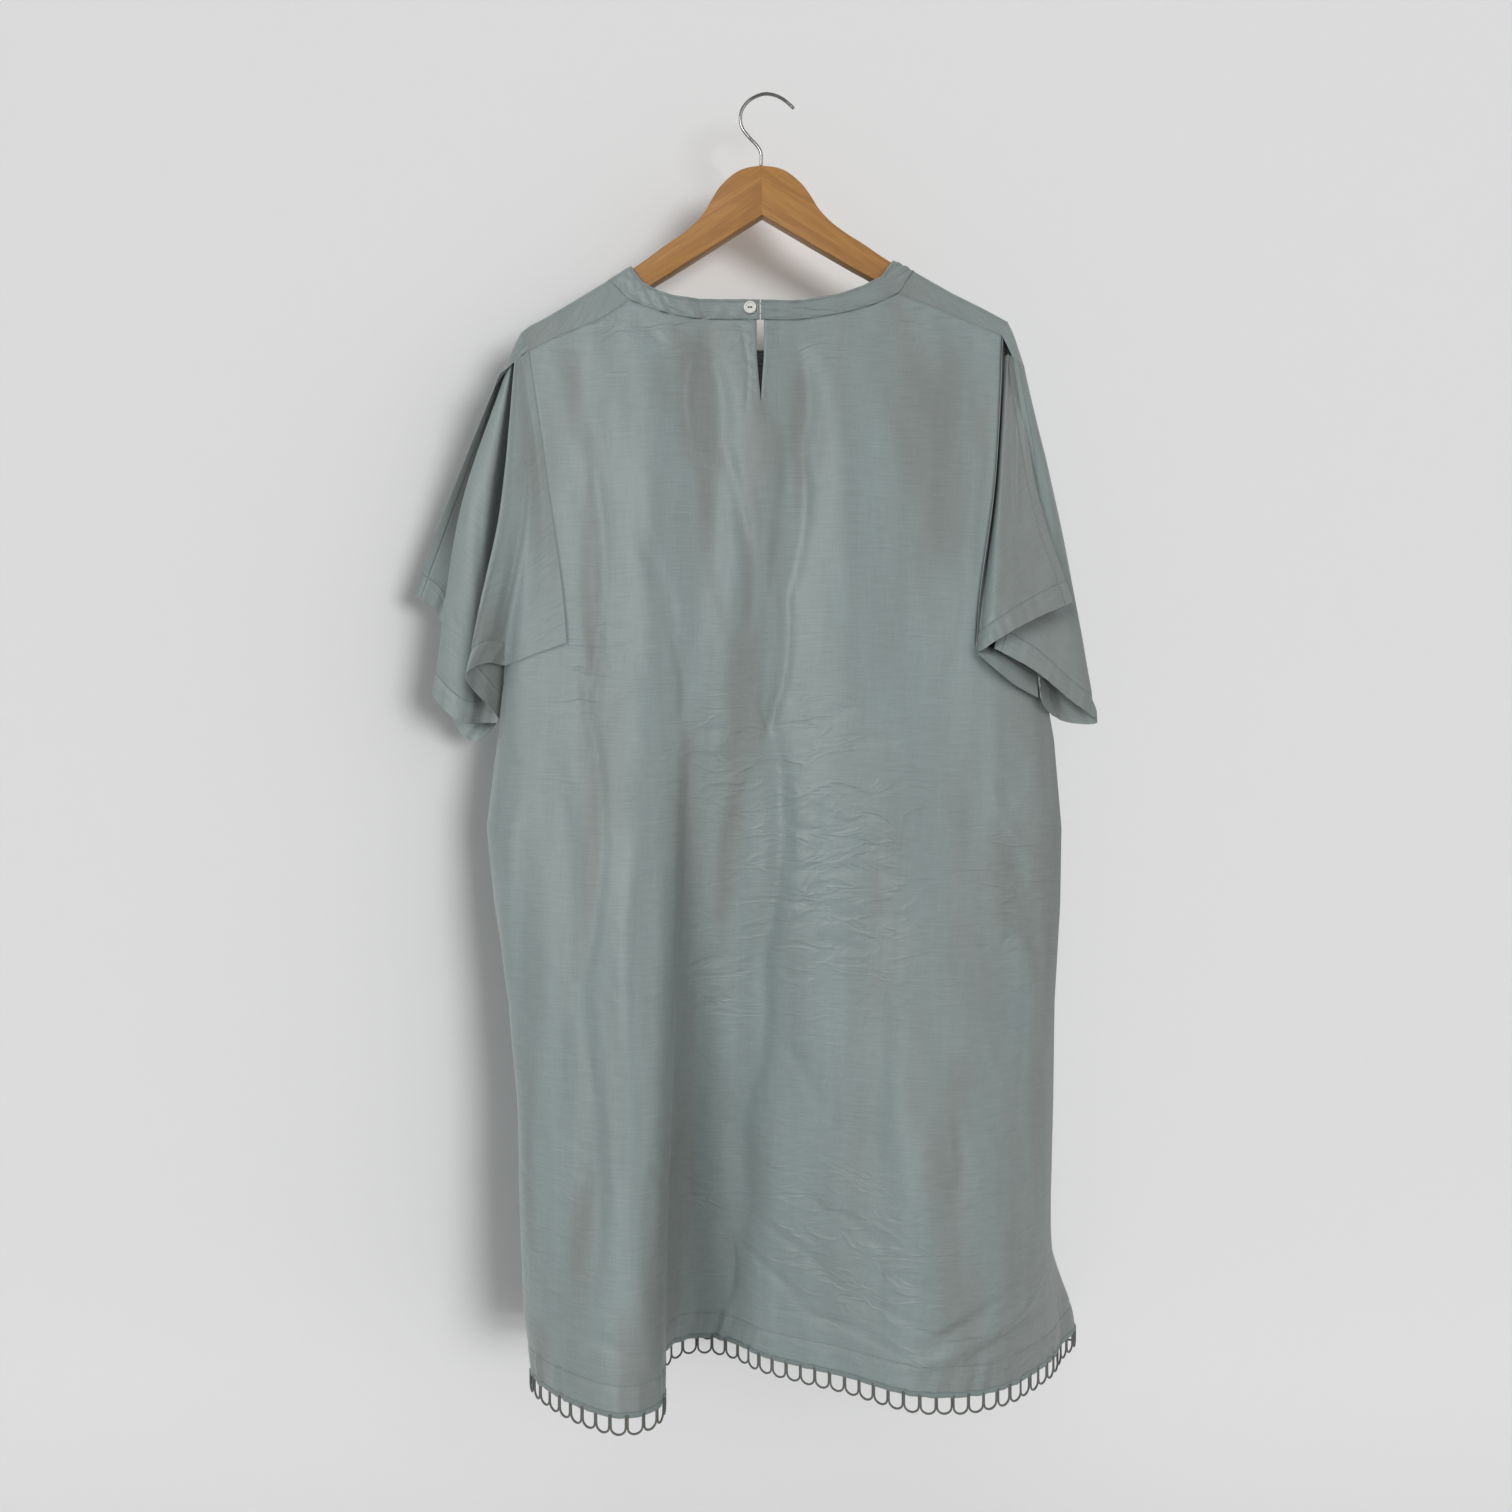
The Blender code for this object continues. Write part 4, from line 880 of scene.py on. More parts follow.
def settled(made):
    """The object with its modifiers applied."""
    graph = bpy.context.evaluated_depsgraph_get()
    graph.update()
    mesh = bpy.data.meshes.new_from_object(made.evaluated_get(graph))
    made.modifiers.clear()
    old = made.data
    made.data = mesh
    mesh.name = made.name
    if isinstance(old, bpy.types.Mesh):
        bpy.data.meshes.remove(old)
    return made


def as_piece(made, slot, *nodes):
    """Rides the part's one body and stands for its nodes. The slot is not used."""
    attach(made, "root")
    if nodes:
        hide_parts(*nodes)
    return made


def wire_points(route, count):
    """Points of the smooth curve through a route, as many between any two of its own points."""
    t = np.linspace(0, len(route) - 1, count)
    return spline_weights(np.arange(len(route)), t) @ np.array(route)


def tube(name, points, radius, material, collection, sides=4):
    """A round wire through points in centimetres, as a plain closed mesh."""
    curve = bpy.data.curves.new(name, "CURVE")
    curve.dimensions = "3D"
    curve.bevel_depth = radius * CM
    curve.bevel_resolution = sides
    curve.use_fill_caps = True
    spline = curve.splines.new("POLY")
    spline.points.add(len(points) - 1)
    for point, place in zip(spline.points, points):
        point.co = (*(float(c) * CM for c in place), 1.0)
    drawn = linked(name, curve, collection)
    graph = bpy.context.evaluated_depsgraph_get()
    graph.update()
    mesh = bpy.data.meshes.new_from_object(drawn.evaluated_get(graph))
    bpy.data.objects.remove(drawn, do_unlink=True)
    bpy.data.curves.remove(curve)
    work = bmesh.new()
    work.from_mesh(mesh)
    bmesh.ops.remove_doubles(work, verts=work.verts, dist=0.000002)
    work.to_mesh(mesh)
    work.free()
    mesh.shade_smooth()
    mesh.materials.clear()
    mesh.materials.append(material)
    return linked(name, mesh, collection)


def dress_collection():
    return named_collection("dress")


def named_collection(name):
    found = bpy.data.collections.get(name)
    if found is None:
        found = bpy.data.collections.new(name)
        bpy.context.scene.collection.children.link(found)
    return found


# Folds and creases


def line_relief(x, depth, table):
    """How far the lines of a table lift the cloth at each point, in centimetres."""
    relief = np.zeros_like(x)
    for x0, d0, x1, d1, half_width, height in table:
        along = np.array((x1 - x0, d1 - d0))
        length = np.linalg.norm(along)
        along = along / length
        t = ((x - x0) * along[0] + (depth - d0) * along[1]) / length
        bow = 0.06 * length * np.sin(math.pi * np.clip(t, 0, 1)) * math.copysign(1.0, height + x0 * 1e-3)
        across = (x - x0) * along[1] - (depth - d0) * along[0] + bow
        fade = ease((t + 0.12) / 0.35) * ease((1.12 - t) / 0.35)
        relief += height * np.exp(-((across / half_width) ** 2)) * fade
    return relief


def wave_relief(x, depth, seed, count, spread, height, lean=0.25):
    """Soft seeded waves that run mostly down the cloth."""
    random = np.random.default_rng(seed)
    relief = np.zeros_like(x)
    for _ in range(count):
        pitch = random.uniform(*spread)
        slope = random.normal(0, lean)
        phase = random.uniform(0, 2 * math.pi)
        centre = random.uniform(20, HEM_DEPTH)
        reach = random.uniform(14, 40)
        wander = 0.8 * np.sin(depth / random.uniform(9, 20) + phase)
        wave = np.sin(2 * math.pi * (x + slope * (depth - centre) + wander) / pitch + phase)
        relief += wave * np.exp(-(((depth - centre) / reach) ** 2)) * random.uniform(0.4, 1.0)
    return height * relief / math.sqrt(count)


def crumpled_share(x, depth):
    """Share of fine creases at each point, from the crumpled places."""
    share = np.zeros_like(x)
    for cx, cd, across, down, strength in CRUMPLED:
        near = np.exp(-(((x - cx) / across) ** 2) - ((depth - cd) / down) ** 2)
        share = np.maximum(share, strength * near)
    return share


def hem_puckers(u, above_hem, hem, seed):
    """Ripples between a hem's stitch line and its edge, and the step where the hem is turned."""
    random = np.random.default_rng(seed)
    ripple = np.zeros_like(u)
    for _ in range(9):
        pitch = random.uniform(0.9, 2.8)
        ripple += np.sin(2 * math.pi * u / pitch + random.uniform(0, 6.3)) * random.uniform(0.3, 1.0)
    inside = ease((hem + 0.9 - above_hem) / 1.2)
    step = 0.05 * ease((hem + 0.1 - above_hem) / 0.3)
    groove = -0.08 * np.exp(-(((above_hem - hem) / 0.3) ** 2))
    return 0.036 * ripple * inside + step + groove


# Panels


def panel_columns(lines, per_line):
    """Line numbers of a panel grid's columns."""
    count = (lines.shape[1] - 1) * per_line
    return np.linspace(0, lines.shape[1] - 1, count + 1)


def panel_grid(lines, armholes, per_line, upper_rows, lower_rows):
    """Points of a panel above and below its underarm, with the cells that the cloth has."""
    s = panel_columns(lines, per_line)
    inside = np.clip(s, armholes[0], armholes[1])
    top = panel_top(lines, inside)
    under = underarm(lines, s)
    share_up = np.linspace(0, 1, upper_rows + 1)[:, None]
    share_down = np.linspace(0, 1, lower_rows + 1)[1:, None]
    depth = np.concatenate((top + (under - top) * share_up, under + (HEM_DEPTH - under) * share_down))
    points = on_panel(lines, np.broadcast_to(s, depth.shape), depth)
    keep = np.ones((depth.shape[0] - 1, len(s) - 1), dtype=bool)
    middle = (s[:-1] + s[1:]) / 2
    keep[:upper_rows, :] = (middle > armholes[0]) & (middle < armholes[1])
    return s, depth, points, keep


def pull_side_edges(points, upper_rows, gap):
    """Draws a panel's two side edges in by a gap, along the cloth."""
    for edge, inner in ((0, 1), (-1, -2)):
        way = unit(points[upper_rows:, inner] - points[upper_rows:, edge])
        points[upper_rows:, edge] += way * gap
    return points


def edge_fade(s, depth, lines, armholes):
    """Share of relief that each point of a panel takes: none at its sewn edges."""
    last = lines.shape[1] - 1
    side = ease(np.minimum(s, last - s) / 0.9)
    hole = ease(np.minimum(s - armholes[0], armholes[1] - s) / 0.7)
    top = panel_top(lines, np.clip(s, armholes[0], armholes[1]))
    above = depth < underarm(lines, s)
    share = np.where(above, np.maximum(hole, 0.0), side)
    blend = ease((depth - underarm(lines, s)) / 4.0)
    share = np.where(above, share, side * blend + np.maximum(hole, 0.0) * (1 - blend))
    return share * ease((depth - top) / 1.5)


def open_slit(points, s, keep):
    """Parts the back's cells along the keyhole slit, and moves its two edges to the slit's sides."""
    x = points[..., 0]
    depth = -points[..., 2]
    first = int(np.argmin(np.abs(x[0] - SLIT_X)))
    left = first if x[0, first] <= SLIT_X else first - 1
    right = left + 1
    bottom = SLIT_EDGES[-1][0]
    open_rows = depth[:, left] < bottom
    for column, which in ((left, 1), (right, 2)):
        target = between(SLIT_EDGES, depth[:, column], which)
        shift = np.where(open_rows, target - x[:, column], 0.0)
        settle = ease((bottom + 4.0 - depth[:, column]) / 4.0)
        late = between(SLIT_EDGES, bottom, which) - x[:, column]
        shift = np.where(open_rows, shift, late * settle)
        away = column - np.arange(len(s)) if which == 1 else np.arange(len(s)) - column
        fade = np.where(away >= 0, ease(1 - away / 12.0), 0.0)
        points[..., 0] += shift[:, None] * fade[None, :]
    keep[:, left] &= ~open_rows[:-1]
    return points


def build_back_panel(settings, collection):
    per_line, upper, lower = BACK_CELLS
    s, depth, points, keep = panel_grid(BACK, BACK_ARMHOLES, per_line, upper, lower)
    points = pull_side_edges(points, upper, SEAM_GAP)
    points = open_slit(points, s, keep)
    x = points[..., 0]
    grid_s = np.broadcast_to(s, depth.shape)
    fade = edge_fade(grid_s, depth, BACK, BACK_ARMHOLES)
    relief = line_relief(x, depth, FOLDS) + line_relief(x, depth, CREASES)
    relief += wave_relief(x, depth, SEED, 14, (3.0, 9.0), 0.11)
    relief += wave_relief(x, depth, SEED + 1, 16, (1.2, 3.0), 0.02, lean=0.6)
    across = run_lengths(points, 1)
    above = heights(points)
    relief = relief * fade * settings.fold_strength
    relief += hem_puckers(across, above, BODY_HEM, SEED) * fade
    normals = grid_normals(points, (0, -1, 0))
    points = points + normals * relief[..., None]
    # The back's warm share comes from the bands: painted sheen and shade
    marks = {"crumple": crumpled_share(x, depth), "warm": line_relief(x, depth, PAINTED_SHEEN_SHADE_BANDS)}
    grid = {"points": points, "u": across, "v": above, "keep": keep, **marks}
    made = sheet_mesh("cloth_back_panel", [grid], collection, settings.cloth_thickness, True)
    return made, points


def wrap_points(seam, crossing, foot, steps_back, steps_front):
    """Shoulder cloth from the seam behind, over the ridge and down to the front, a row for each step."""
    seam_x = seam[:, 0]
    seam_drop = -seam[:, 2] - between(RIDGE, seam_x)
    rows = []
    for share in np.linspace(1, 0, steps_back, endpoint=False):
        drop = seam_drop * share**1.6
        rows.append(draped(crossing + (seam_x - crossing) * drop / seam_drop, drop, -1))
    for share in np.linspace(0, 1, steps_front, endpoint=False):
        drop = np.full_like(seam_x, RIDGE_RADIUS * share**1.6)
        rows.append(draped(crossing + (foot[:, 0] - crossing) * drop / RIDGE_RADIUS, drop, 1))
    return np.array(rows)


def build_front_panel(settings, collection, back_points):
    per_line, upper, lower = FRONT_CELLS
    s, depth, points, keep = panel_grid(FRONT, FRONT_ARMHOLES, per_line, upper, lower)
    points = pull_side_edges(points, upper, SEAM_GAP)
    steps_back, steps_front = WRAP_ROWS
    wraps = np.repeat(points[:1], steps_back + steps_front, axis=0)
    wrap_keep = np.zeros((steps_back + steps_front, len(s) - 1), dtype=bool)
    back_s = panel_columns(BACK, BACK_CELLS[0])
    shoulders = (
        (FRONT_ARMHOLES[0], FRONT_NECK[0], 2, 4, LEFT_CROSSING, ("armhole", "seam")),
        (FRONT_NECK[1], FRONT_ARMHOLES[1], 12, 14, RIGHT_CROSSING, ("seam", "armhole")),
    )
    for first, last, back_first, back_last, crossing, ends in shoulders:
        a, b = first * per_line, last * per_line
        share = np.linspace(0, 1, b - a + 1)
        cross = crossing[ends[0]] + (crossing[ends[1]] - crossing[ends[0]]) * share
        at = back_first + (back_last - back_first) * share
        seam = read_line(at, back_s, back_points[0])
        seam[:, 2] += SEAM_GAP
        wraps[:, a : b + 1] = wrap_points(seam, cross, points[0, a : b + 1], steps_back, steps_front)
        wrap_keep[:, a:b] = True
    full = np.concatenate((wraps, points))
    full_keep = np.concatenate((wrap_keep, keep))
    depth = -full[..., 2]
    x = full[..., 0]
    grid_s = np.broadcast_to(s, depth.shape)
    rows = np.arange(full.shape[0])[:, None]
    fade = edge_fade(grid_s, depth, FRONT, FRONT_ARMHOLES)
    fade = fade * ease((rows - steps_back - steps_front) / 14.0)
    relief = wave_relief(x, depth, SEED + 5, 14, (3.0, 9.0), 0.11)
    relief += wave_relief(x, depth, SEED + 6, 14, (1.4, 3.0), 0.02, lean=0.6)
    across = run_lengths(full, 1)
    above = heights(full)
    relief = relief * fade * settings.fold_strength
    relief += hem_puckers(across, above, BODY_HEM, SEED + 3) * fade
    full = full + grid_normals(full, (0, 1, 0)) * relief[..., None]
    warm = np.where(rows < steps_back, YOKE_WARMTH, 0.0) + 0.0 * x
    marks = {"crumple": 0.5 * crumpled_share(x, depth), "warm": warm}
    grid = {"points": full, "u": across, "v": above, "keep": full_keep, "flip": True, **marks}
    made = sheet_mesh("cloth_front_panel", [grid], collection, settings.cloth_thickness)
    return made, full, steps_back + steps_front


# Sleeves


def lofted(first, lines_table, per_line, shares):
    """Points of the smooth surface through a first line and a table's lines, and their line numbers."""
    places = np.concatenate((first[None], np.array([row[1:] for row in lines_table], dtype=float)))
    s = np.linspace(0, len(lines_table), len(lines_table) * per_line + 1)
    down = spline_weights((0.0, 0.5, 1.0), shares)
    across = spline_weights(np.arange(len(places)), s)
    return np.einsum("rl,cs,slx->rcx", down, across, places), s


def sleeve_surface(lines_table, panel, armhole, outward_way, aside, per_line, shares):
    """Points of a sleeve half: rows down its shares, columns across its lines."""
    top, under = panel_top(panel, np.array(float(armhole))), underarm(panel, float(armhole))

    def seam_at(share):
        place = on_panel(panel, np.full_like(share, armhole), top + (under - top) * share)
        return place + np.array((aside, 0.0, 0.0))

    corner_lift = np.array((0.0, 0.0, SEAM_GAP))
    first = seam_at(np.array((0.0, 0.5, 1.0)))
    first[2] += corner_lift
    points, s = lofted(first, lines_table, per_line, shares)
    seam = seam_at(np.minimum(shares, 1.0))
    seam[-1] += corner_lift
    points += (seam - points[:, 0])[:, None] * np.clip(1 - s, 0, 1)[None, :, None]
    near = np.minimum(s, 1.5)
    foot = on_panel(panel, armhole + outward_way * near, underarm(panel, armhole + outward_way * near))
    foot = foot + corner_lift + np.array((aside, 0.0, 0.0)) * np.clip(1 - s, 0, 1)[:, None]
    weight = ease((2.0 - s) / 0.5)[None, :, None] * ease((shares - 0.8) / 0.2)[:, None, None]
    points += (foot - points[-1])[None] * weight * np.where(s < 2.0, 1.0, 0.0)[None, :, None]
    return points, s


def sleeve_relief(points, shares, s, count, seed, strength):
    """Seeded soft wrinkles of a sleeve half, none at its seam and its hem's corner."""
    random = np.random.default_rng(seed)
    x, depth = points[..., 0], -points[..., 2]
    relief = np.zeros_like(x)
    for _ in range(count):
        along = random.uniform(0.5, s[-1] - 0.3)
        at = random.uniform(0.25, 1.0)
        width = random.uniform(0.12, 0.4)
        reach = random.uniform(0.1, 0.3)
        drift = random.normal(0, 1.2)
        line = s[None, :] - along - drift * (shares[:, None] - at)
        near = np.exp(-((line / width) ** 2)) * np.exp(-(((shares[:, None] - at) / reach) ** 2))
        relief += near * random.uniform(-1, 1)
    relief = relief * 0.07 + wave_relief(x, depth, seed + 1, 8, (1.5, 4.0), 0.02, lean=0.5)
    fade = ease(s[None, :] / 0.9) * ease(shares[:, None] / 0.25)
    return relief * fade * strength


def sleeve_grid(points, s, outward, seed, strength, flip, shares, seam_lines=2.0):
    """A sleeve half's grid; along the first lines its foot is the underarm seam, with no hem."""
    above = heights(points)
    above = above + UNDERARM_LIFT * ease((seam_lines + 0.2 - s) / 0.4)[None, :]
    from_slit = insets(points)
    relief = sleeve_relief(points, shares, s, 26, seed, strength)
    hem_fade = ease(s[None, :] / 1.5)
    relief += hem_puckers(from_slit, above, SLEEVE_HEM, seed) * 0.7 * hem_fade
    points = points + grid_normals(points, outward) * relief[..., None]
    return {
        "points": points,
        "u": from_slit,
        "v": above,
        "keep": all_cells(points),
        "flip": flip,
        "crumple": np.full(points.shape[:2], SLEEVE_CRUMPLE),
    }


SLEEVES = (
    # name, table, panel, armhole line, way, aside, outward, flip
    ("sleeve_left_back", LEFT_BACK_SLEEVE, BACK, 2, -1, -SEAM_GAP, (0, -1, 0), True),
    ("sleeve_left_front", LEFT_FRONT_SLEEVE, FRONT, 2, -1, -SEAM_GAP, (0, 1, 0), False),
    ("sleeve_right_front", RIGHT_FRONT_SLEEVE, FRONT, 11, 1, SEAM_GAP, (0, 1, 0), True),
)


def shoulder_cap(front_points, wrap_rows, side, grid):
    """A front half's end over its shoulder, rounded outwards, which runs on into the half below."""
    hem = grid["points"][0]
    edge = even_run(front_points[: wrap_rows + 1, FRONT_ARMHOLES[side] * FRONT_CELLS[0]][::-1], len(hem))
    edge[0] = hem[0]
    share = np.linspace(0, 1, CAP_ROWS + 1)[:, None, None]
    over = np.sin(np.linspace(0, math.pi, len(edge)))[None, :, None]
    outward = np.array(((-0.86, 0.86)[side], 0.0, 0.51))
    points = edge[None] + (hem - edge)[None] * share
    points = points + outward * CAP_BULGE * np.sin(math.pi * share) * over
    return {
        "points": points,
        "u": np.broadcast_to(grid["u"][0], points.shape[:2]),
        "v": grid["v"][0] + heights(points),
        "keep": all_cells(points),
        "flip": grid["flip"],
        "crumple": np.full(points.shape[:2], 0.5),
    }


def build_sleeves(settings, collection):
    made = {}
    shares = np.linspace(0, 1, 91)
    for number, (name, table, panel, armhole, way, aside, outward, flip) in enumerate(SLEEVES):
        points, s = sleeve_surface(table, panel, armhole, way, aside, 12, shares)
        grid = sleeve_grid(points, s, outward, SEED + 20 + number, settings.fold_strength, flip, shares)
        grids = [grid]
        if panel is FRONT:
            side = FRONT_ARMHOLES.index(armhole)
            grids.append(shoulder_cap(BUILT["front"], BUILT["wrap_rows"], side, grid))
        piece = sheet_mesh("cloth_" + name, grids, collection, settings.cloth_thickness)
        made[name] = (piece, grid["points"])
    made["sleeve_right_back"] = build_right_back_sleeve(settings, collection)
    return made


def build_right_back_sleeve(settings, collection):
    """The right back half, with the strip that hangs from the underarm seam behind its near fold."""
    upper, lower, per_line = 84, 10, 14
    shares = np.concatenate(
        (np.linspace(0, STRIP_SHARE, upper + 1), np.linspace(STRIP_SHARE, 1, lower + 1)[1:])
    )
    armhole = BACK_ARMHOLES[1]
    top, under = panel_top(BACK, np.array(float(armhole))), underarm(BACK, float(armhole))
    seam_share = np.linspace(0, 1, upper + 1)
    seam = on_panel(BACK, np.full_like(seam_share, armhole), top + (under - top) * seam_share)
    corner = seam[-1] + np.array((0.0, -STRIP_STAND_OFF, SEAM_GAP))
    seam = seam + np.array((STRIP_ASIDE, 0.0, 0.0))
    bend = ease((seam_share - 0.93) / 0.07)[:, None]
    seam = seam * (1 - bend) + (corner + (seam - seam[-1])) * bend
    fold = np.array(RIGHT_STRIP_HEM[0])
    edge = corner + (fold - corner) * np.linspace(0, 1, lower + 1)[1:, None]
    first_column = np.concatenate((seam, edge))
    first = np.stack((seam[0], seam[upper // 2], fold))
    points, s = lofted(first, RIGHT_BACK_SLEEVE, per_line, shares)
    points += (first_column - points[:, 0])[:, None] * np.clip(1 - s, 0, 1)[None, :, None]
    grid = sleeve_grid(points, s, (0, -1, 0), SEED + 30, settings.fold_strength, False, shares, 0.5)
    grid["points"][:, 0] = first_column
    # The right back half takes the darker warm tone all over: painted shade
    grid["warm"] = np.full(grid["points"].shape[:2], PAINTED_PANEL_SHADE)
    strip_s = np.linspace(0, 2, 2 * per_line + 1)
    tops = on_panel(BACK, armhole + strip_s, underarm(BACK, armhole + strip_s))
    tops = tops + np.array((0.0, -STRIP_STAND_OFF, SEAM_GAP))
    tops[0] = corner
    hems = spline_weights(np.arange(len(RIGHT_STRIP_HEM)), strip_s * 2) @ np.array(RIGHT_STRIP_HEM)
    share = np.linspace(0, 1, lower + 1)[:, None, None]
    strip = tops[None] + (hems - tops)[None] * share
    strip_above = heights(strip)
    strip_across = run_lengths(strip, 1) + 20.0
    strip_grid = {
        "points": strip[:, ::-1],
        "u": strip_across[:, ::-1],
        "v": strip_above[:, ::-1],
        "keep": all_cells(strip),
        "flip": False,
    }
    made = sheet_mesh("cloth_sleeve_right_back", [grid, strip_grid], collection, settings.cloth_thickness)
    return made, grid["points"]


# Neck band


def band_pairs(back_points, front_points, wrap_rows):
    """Seam and neck edge of the band, from its left end at the slit round to its right end."""
    back_s = panel_columns(BACK, BACK_CELLS[0])

    def edge_for(seam, table, side):
        x = between(table, seam[:, 0], 1)
        drop = between(table, seam[:, 0], 2) - between(RIDGE, x)
        return draped(x, drop, side)

    def end_at(x):
        drop = between(BACK_TOP, x) - between(RIDGE, x)
        return draped(np.array([x]), np.array([drop]), -1)

    left = read_line(np.linspace(8.7, 4.0, 40), back_s, back_points[0])
    left = np.concatenate((end_at(BAND_END_LEFT), left[left[:, 0] < BAND_END_LEFT - 0.2]))
    right = read_line(np.linspace(12.0, 9.2, 30), back_s, back_points[0])
    right = np.concatenate((right[right[:, 0] > BAND_END_RIGHT + 0.2], end_at(BAND_END_RIGHT)))
    left_edge, right_edge = edge_for(left, BACK_BAND, -1), edge_for(right, BACK_BAND, -1)
    a, b = FRONT_NECK[0] * FRONT_CELLS[0], FRONT_NECK[1] * FRONT_CELLS[0]
    front = front_points[wrap_rows, a : b + 1]
    front_edge = edge_for(front, FRONT_BAND, 1)

    def over_shoulder(column, crossing, edge_back):
        seam = front_points[1:wrap_rows, column]
        drops = -seam[:, 2] - between(RIDGE, seam[:, 0])
        behind = seam[:, 1] < 0
        edge_drop = -edge_back[2] - between(RIDGE, edge_back[0])
        drops = np.where(behind, drops * edge_drop / drops[0], drops)
        x = crossing["edge"] + (edge_back[0] - crossing["edge"]) * np.where(behind, drops / edge_drop, 0.0)
        edge = np.where(behind[:, None], draped(x, drops, -1), draped(x, drops, 1))
        return seam, edge

    left_seam, left_over = over_shoulder(a, LEFT_CROSSING, left_edge[-1])
    right_seam, right_over = over_shoulder(b, RIGHT_CROSSING, right_edge[0])
    seams = np.concatenate((left, left_seam, front, right_seam[::-1], right))
    edges = np.concatenate((left_edge, left_over, front_edge, right_over[::-1], right_edge))
    return seams, edges


def even_run(points, count):
    """Points spaced evenly along a line of points."""
    lengths = run_lengths(points, 0)
    return read_line(np.linspace(0.0, lengths[-1], count), lengths, points)


def smoothed(points, rounds):
    """A line of points with its small kinks worn off, its ends kept."""
    for _ in range(rounds):
        points = points.copy()
        points[1:-1] = points[1:-1] * 0.5 + (points[:-2] + points[2:]) * 0.25
    return points


def build_neck_band(settings, collection, back_points, front_points, wrap_rows):
    seams, edges = band_pairs(back_points, front_points, wrap_rows)
    lengths = run_lengths(seams, 0)
    places = np.linspace(0.0, lengths[-1], BAND_STATIONS)
    seams = smoothed(read_line(places, lengths, seams), 6)
    edges = smoothed(read_line(places, lengths, edges), 10)
    across = np.linspace(-0.04, 1, 13)[:, None, None]
    points = seams[None] + (edges - seams)[None] * across
    middle = np.array((HANGER_X, 0.0, 0.0))
    normals = grid_normals(points, (0, 0, 1))
    away = points - middle
    away[..., 2] = 0.0
    away[..., 0] *= 0.12
    sign = np.where(np.sum(normals * away, axis=-1, keepdims=True) < 0, -1.0, 1.0)
    normals = normals * sign
    share = np.clip(across[..., 0], 0, 1)
    bulge = 0.05 * np.sin(math.pi * share) + 0.035
    u = run_lengths(points, 1)
    random = np.random.default_rng(SEED + 40)
    ripple = np.zeros_like(u)
    for _ in range(14):
        pitch, phase = random.uniform(0.9, 3.0), random.uniform(0, 6.3)
        slant = random.uniform(-1.5, 1.5)
        ripple += np.sin(2 * math.pi * (u + slant * share) / pitch + phase) * random.uniform(0.2, 1.0)
    ends = ease(u / 1.5) * ease((u[:, -1:] - u) / 1.5)
    tucks = np.zeros_like(u)
    for at, slant, width, height in BAND_TUCKS:
        tucks += height * np.exp(-(((u - at - slant * (share - 0.5)) / width) ** 2))
    points = points + normals * (bulge + 0.012 * ripple * ends + tucks)[..., None]
    grid = {
        "points": points,
        "u": u,
        "v": heights(points),
        "keep": all_cells(points),
        "flip": True,
        "crumple": np.full(points.shape[:2], 0.7),
    }
    made = sheet_mesh("cloth_neck_band", [grid], collection, settings.cloth_thickness * 1.6, True)
    return made, points


# Nodes, and copies of a shape along a line


def feed(tree, socket, value):
    """Links a socket to another one, or sets it to a value."""
    if isinstance(value, bpy.types.NodeSocket):
        tree.links.new(value, socket)
    else:
        socket.default_value = value


def feed_all(tree, made, inputs):
    """Feeds a node's inputs by name or number."""
    for key, value in inputs.items():
        feed(tree, made.inputs[key], value)
    return made


def node(tree, kind, inputs=None, **settings):
    """A new node with its settings, and its inputs linked or set."""
    made = tree.nodes.new(kind)
    for key, value in settings.items():
        setattr(made, key, value)
    return feed_all(tree, made, inputs or {})


def line_tree(name, shape, pitch_label, pitch, upright):
    """A tree that sets copies of a shape along a curve, a pitch apart, and gives them a material."""
    tree = bpy.data.node_groups.new(name, "GeometryNodeTree")
    tree.is_modifier = True
    keys = []
    for label, kind in (("Geometry", "Geometry"), (pitch_label, "Float"), ("Material", "Material")):
        socket = tree.interface.new_socket(label, in_out="INPUT", socket_type="NodeSocket" + kind)
        keys.append(socket.identifier)
        if label == pitch_label:
            socket.default_value = pitch
    tree.interface.new_socket("Geometry", in_out="OUTPUT", socket_type="NodeSocketGeometry")
    source = node(tree, "NodeGroupInput").outputs
    curve = node(tree, "GeometryNodeMeshToCurve", {"Mesh": source["Geometry"]}).outputs["Curve"]
    spacing = {"Curve": curve, "Length": source[pitch_label]}
    places = node(tree, "GeometryNodeCurveToPoints", spacing, mode="LENGTH").outputs
    copied = node(tree, "GeometryNodeObjectInfo", {"Object": shape}).outputs["Geometry"]
    turn = places["Rotation"]
    if upright:
        way = {"Vector": places["Tangent"]}
        turned = node(tree, "FunctionNodeAlignRotationToVector", way, axis="X", pivot_axis="Z")
        turn = turned.outputs["Rotation"]
    inputs = {"Points": places["Points"], "Instance": copied, "Rotation": turn}
    copies = node(tree, "GeometryNodeInstanceOnPoints", inputs).outputs["Instances"]
    real = node(tree, "GeometryNodeRealizeInstances", {"Geometry": copies}).outputs["Geometry"]
    finish = {"Geometry": real, "Material": source["Material"]}
    painted = node(tree, "GeometryNodeSetMaterial", finish).outputs["Geometry"]
    node(tree, "NodeGroupOutput", {"Geometry": painted})
    return tree, keys[1], keys[2]


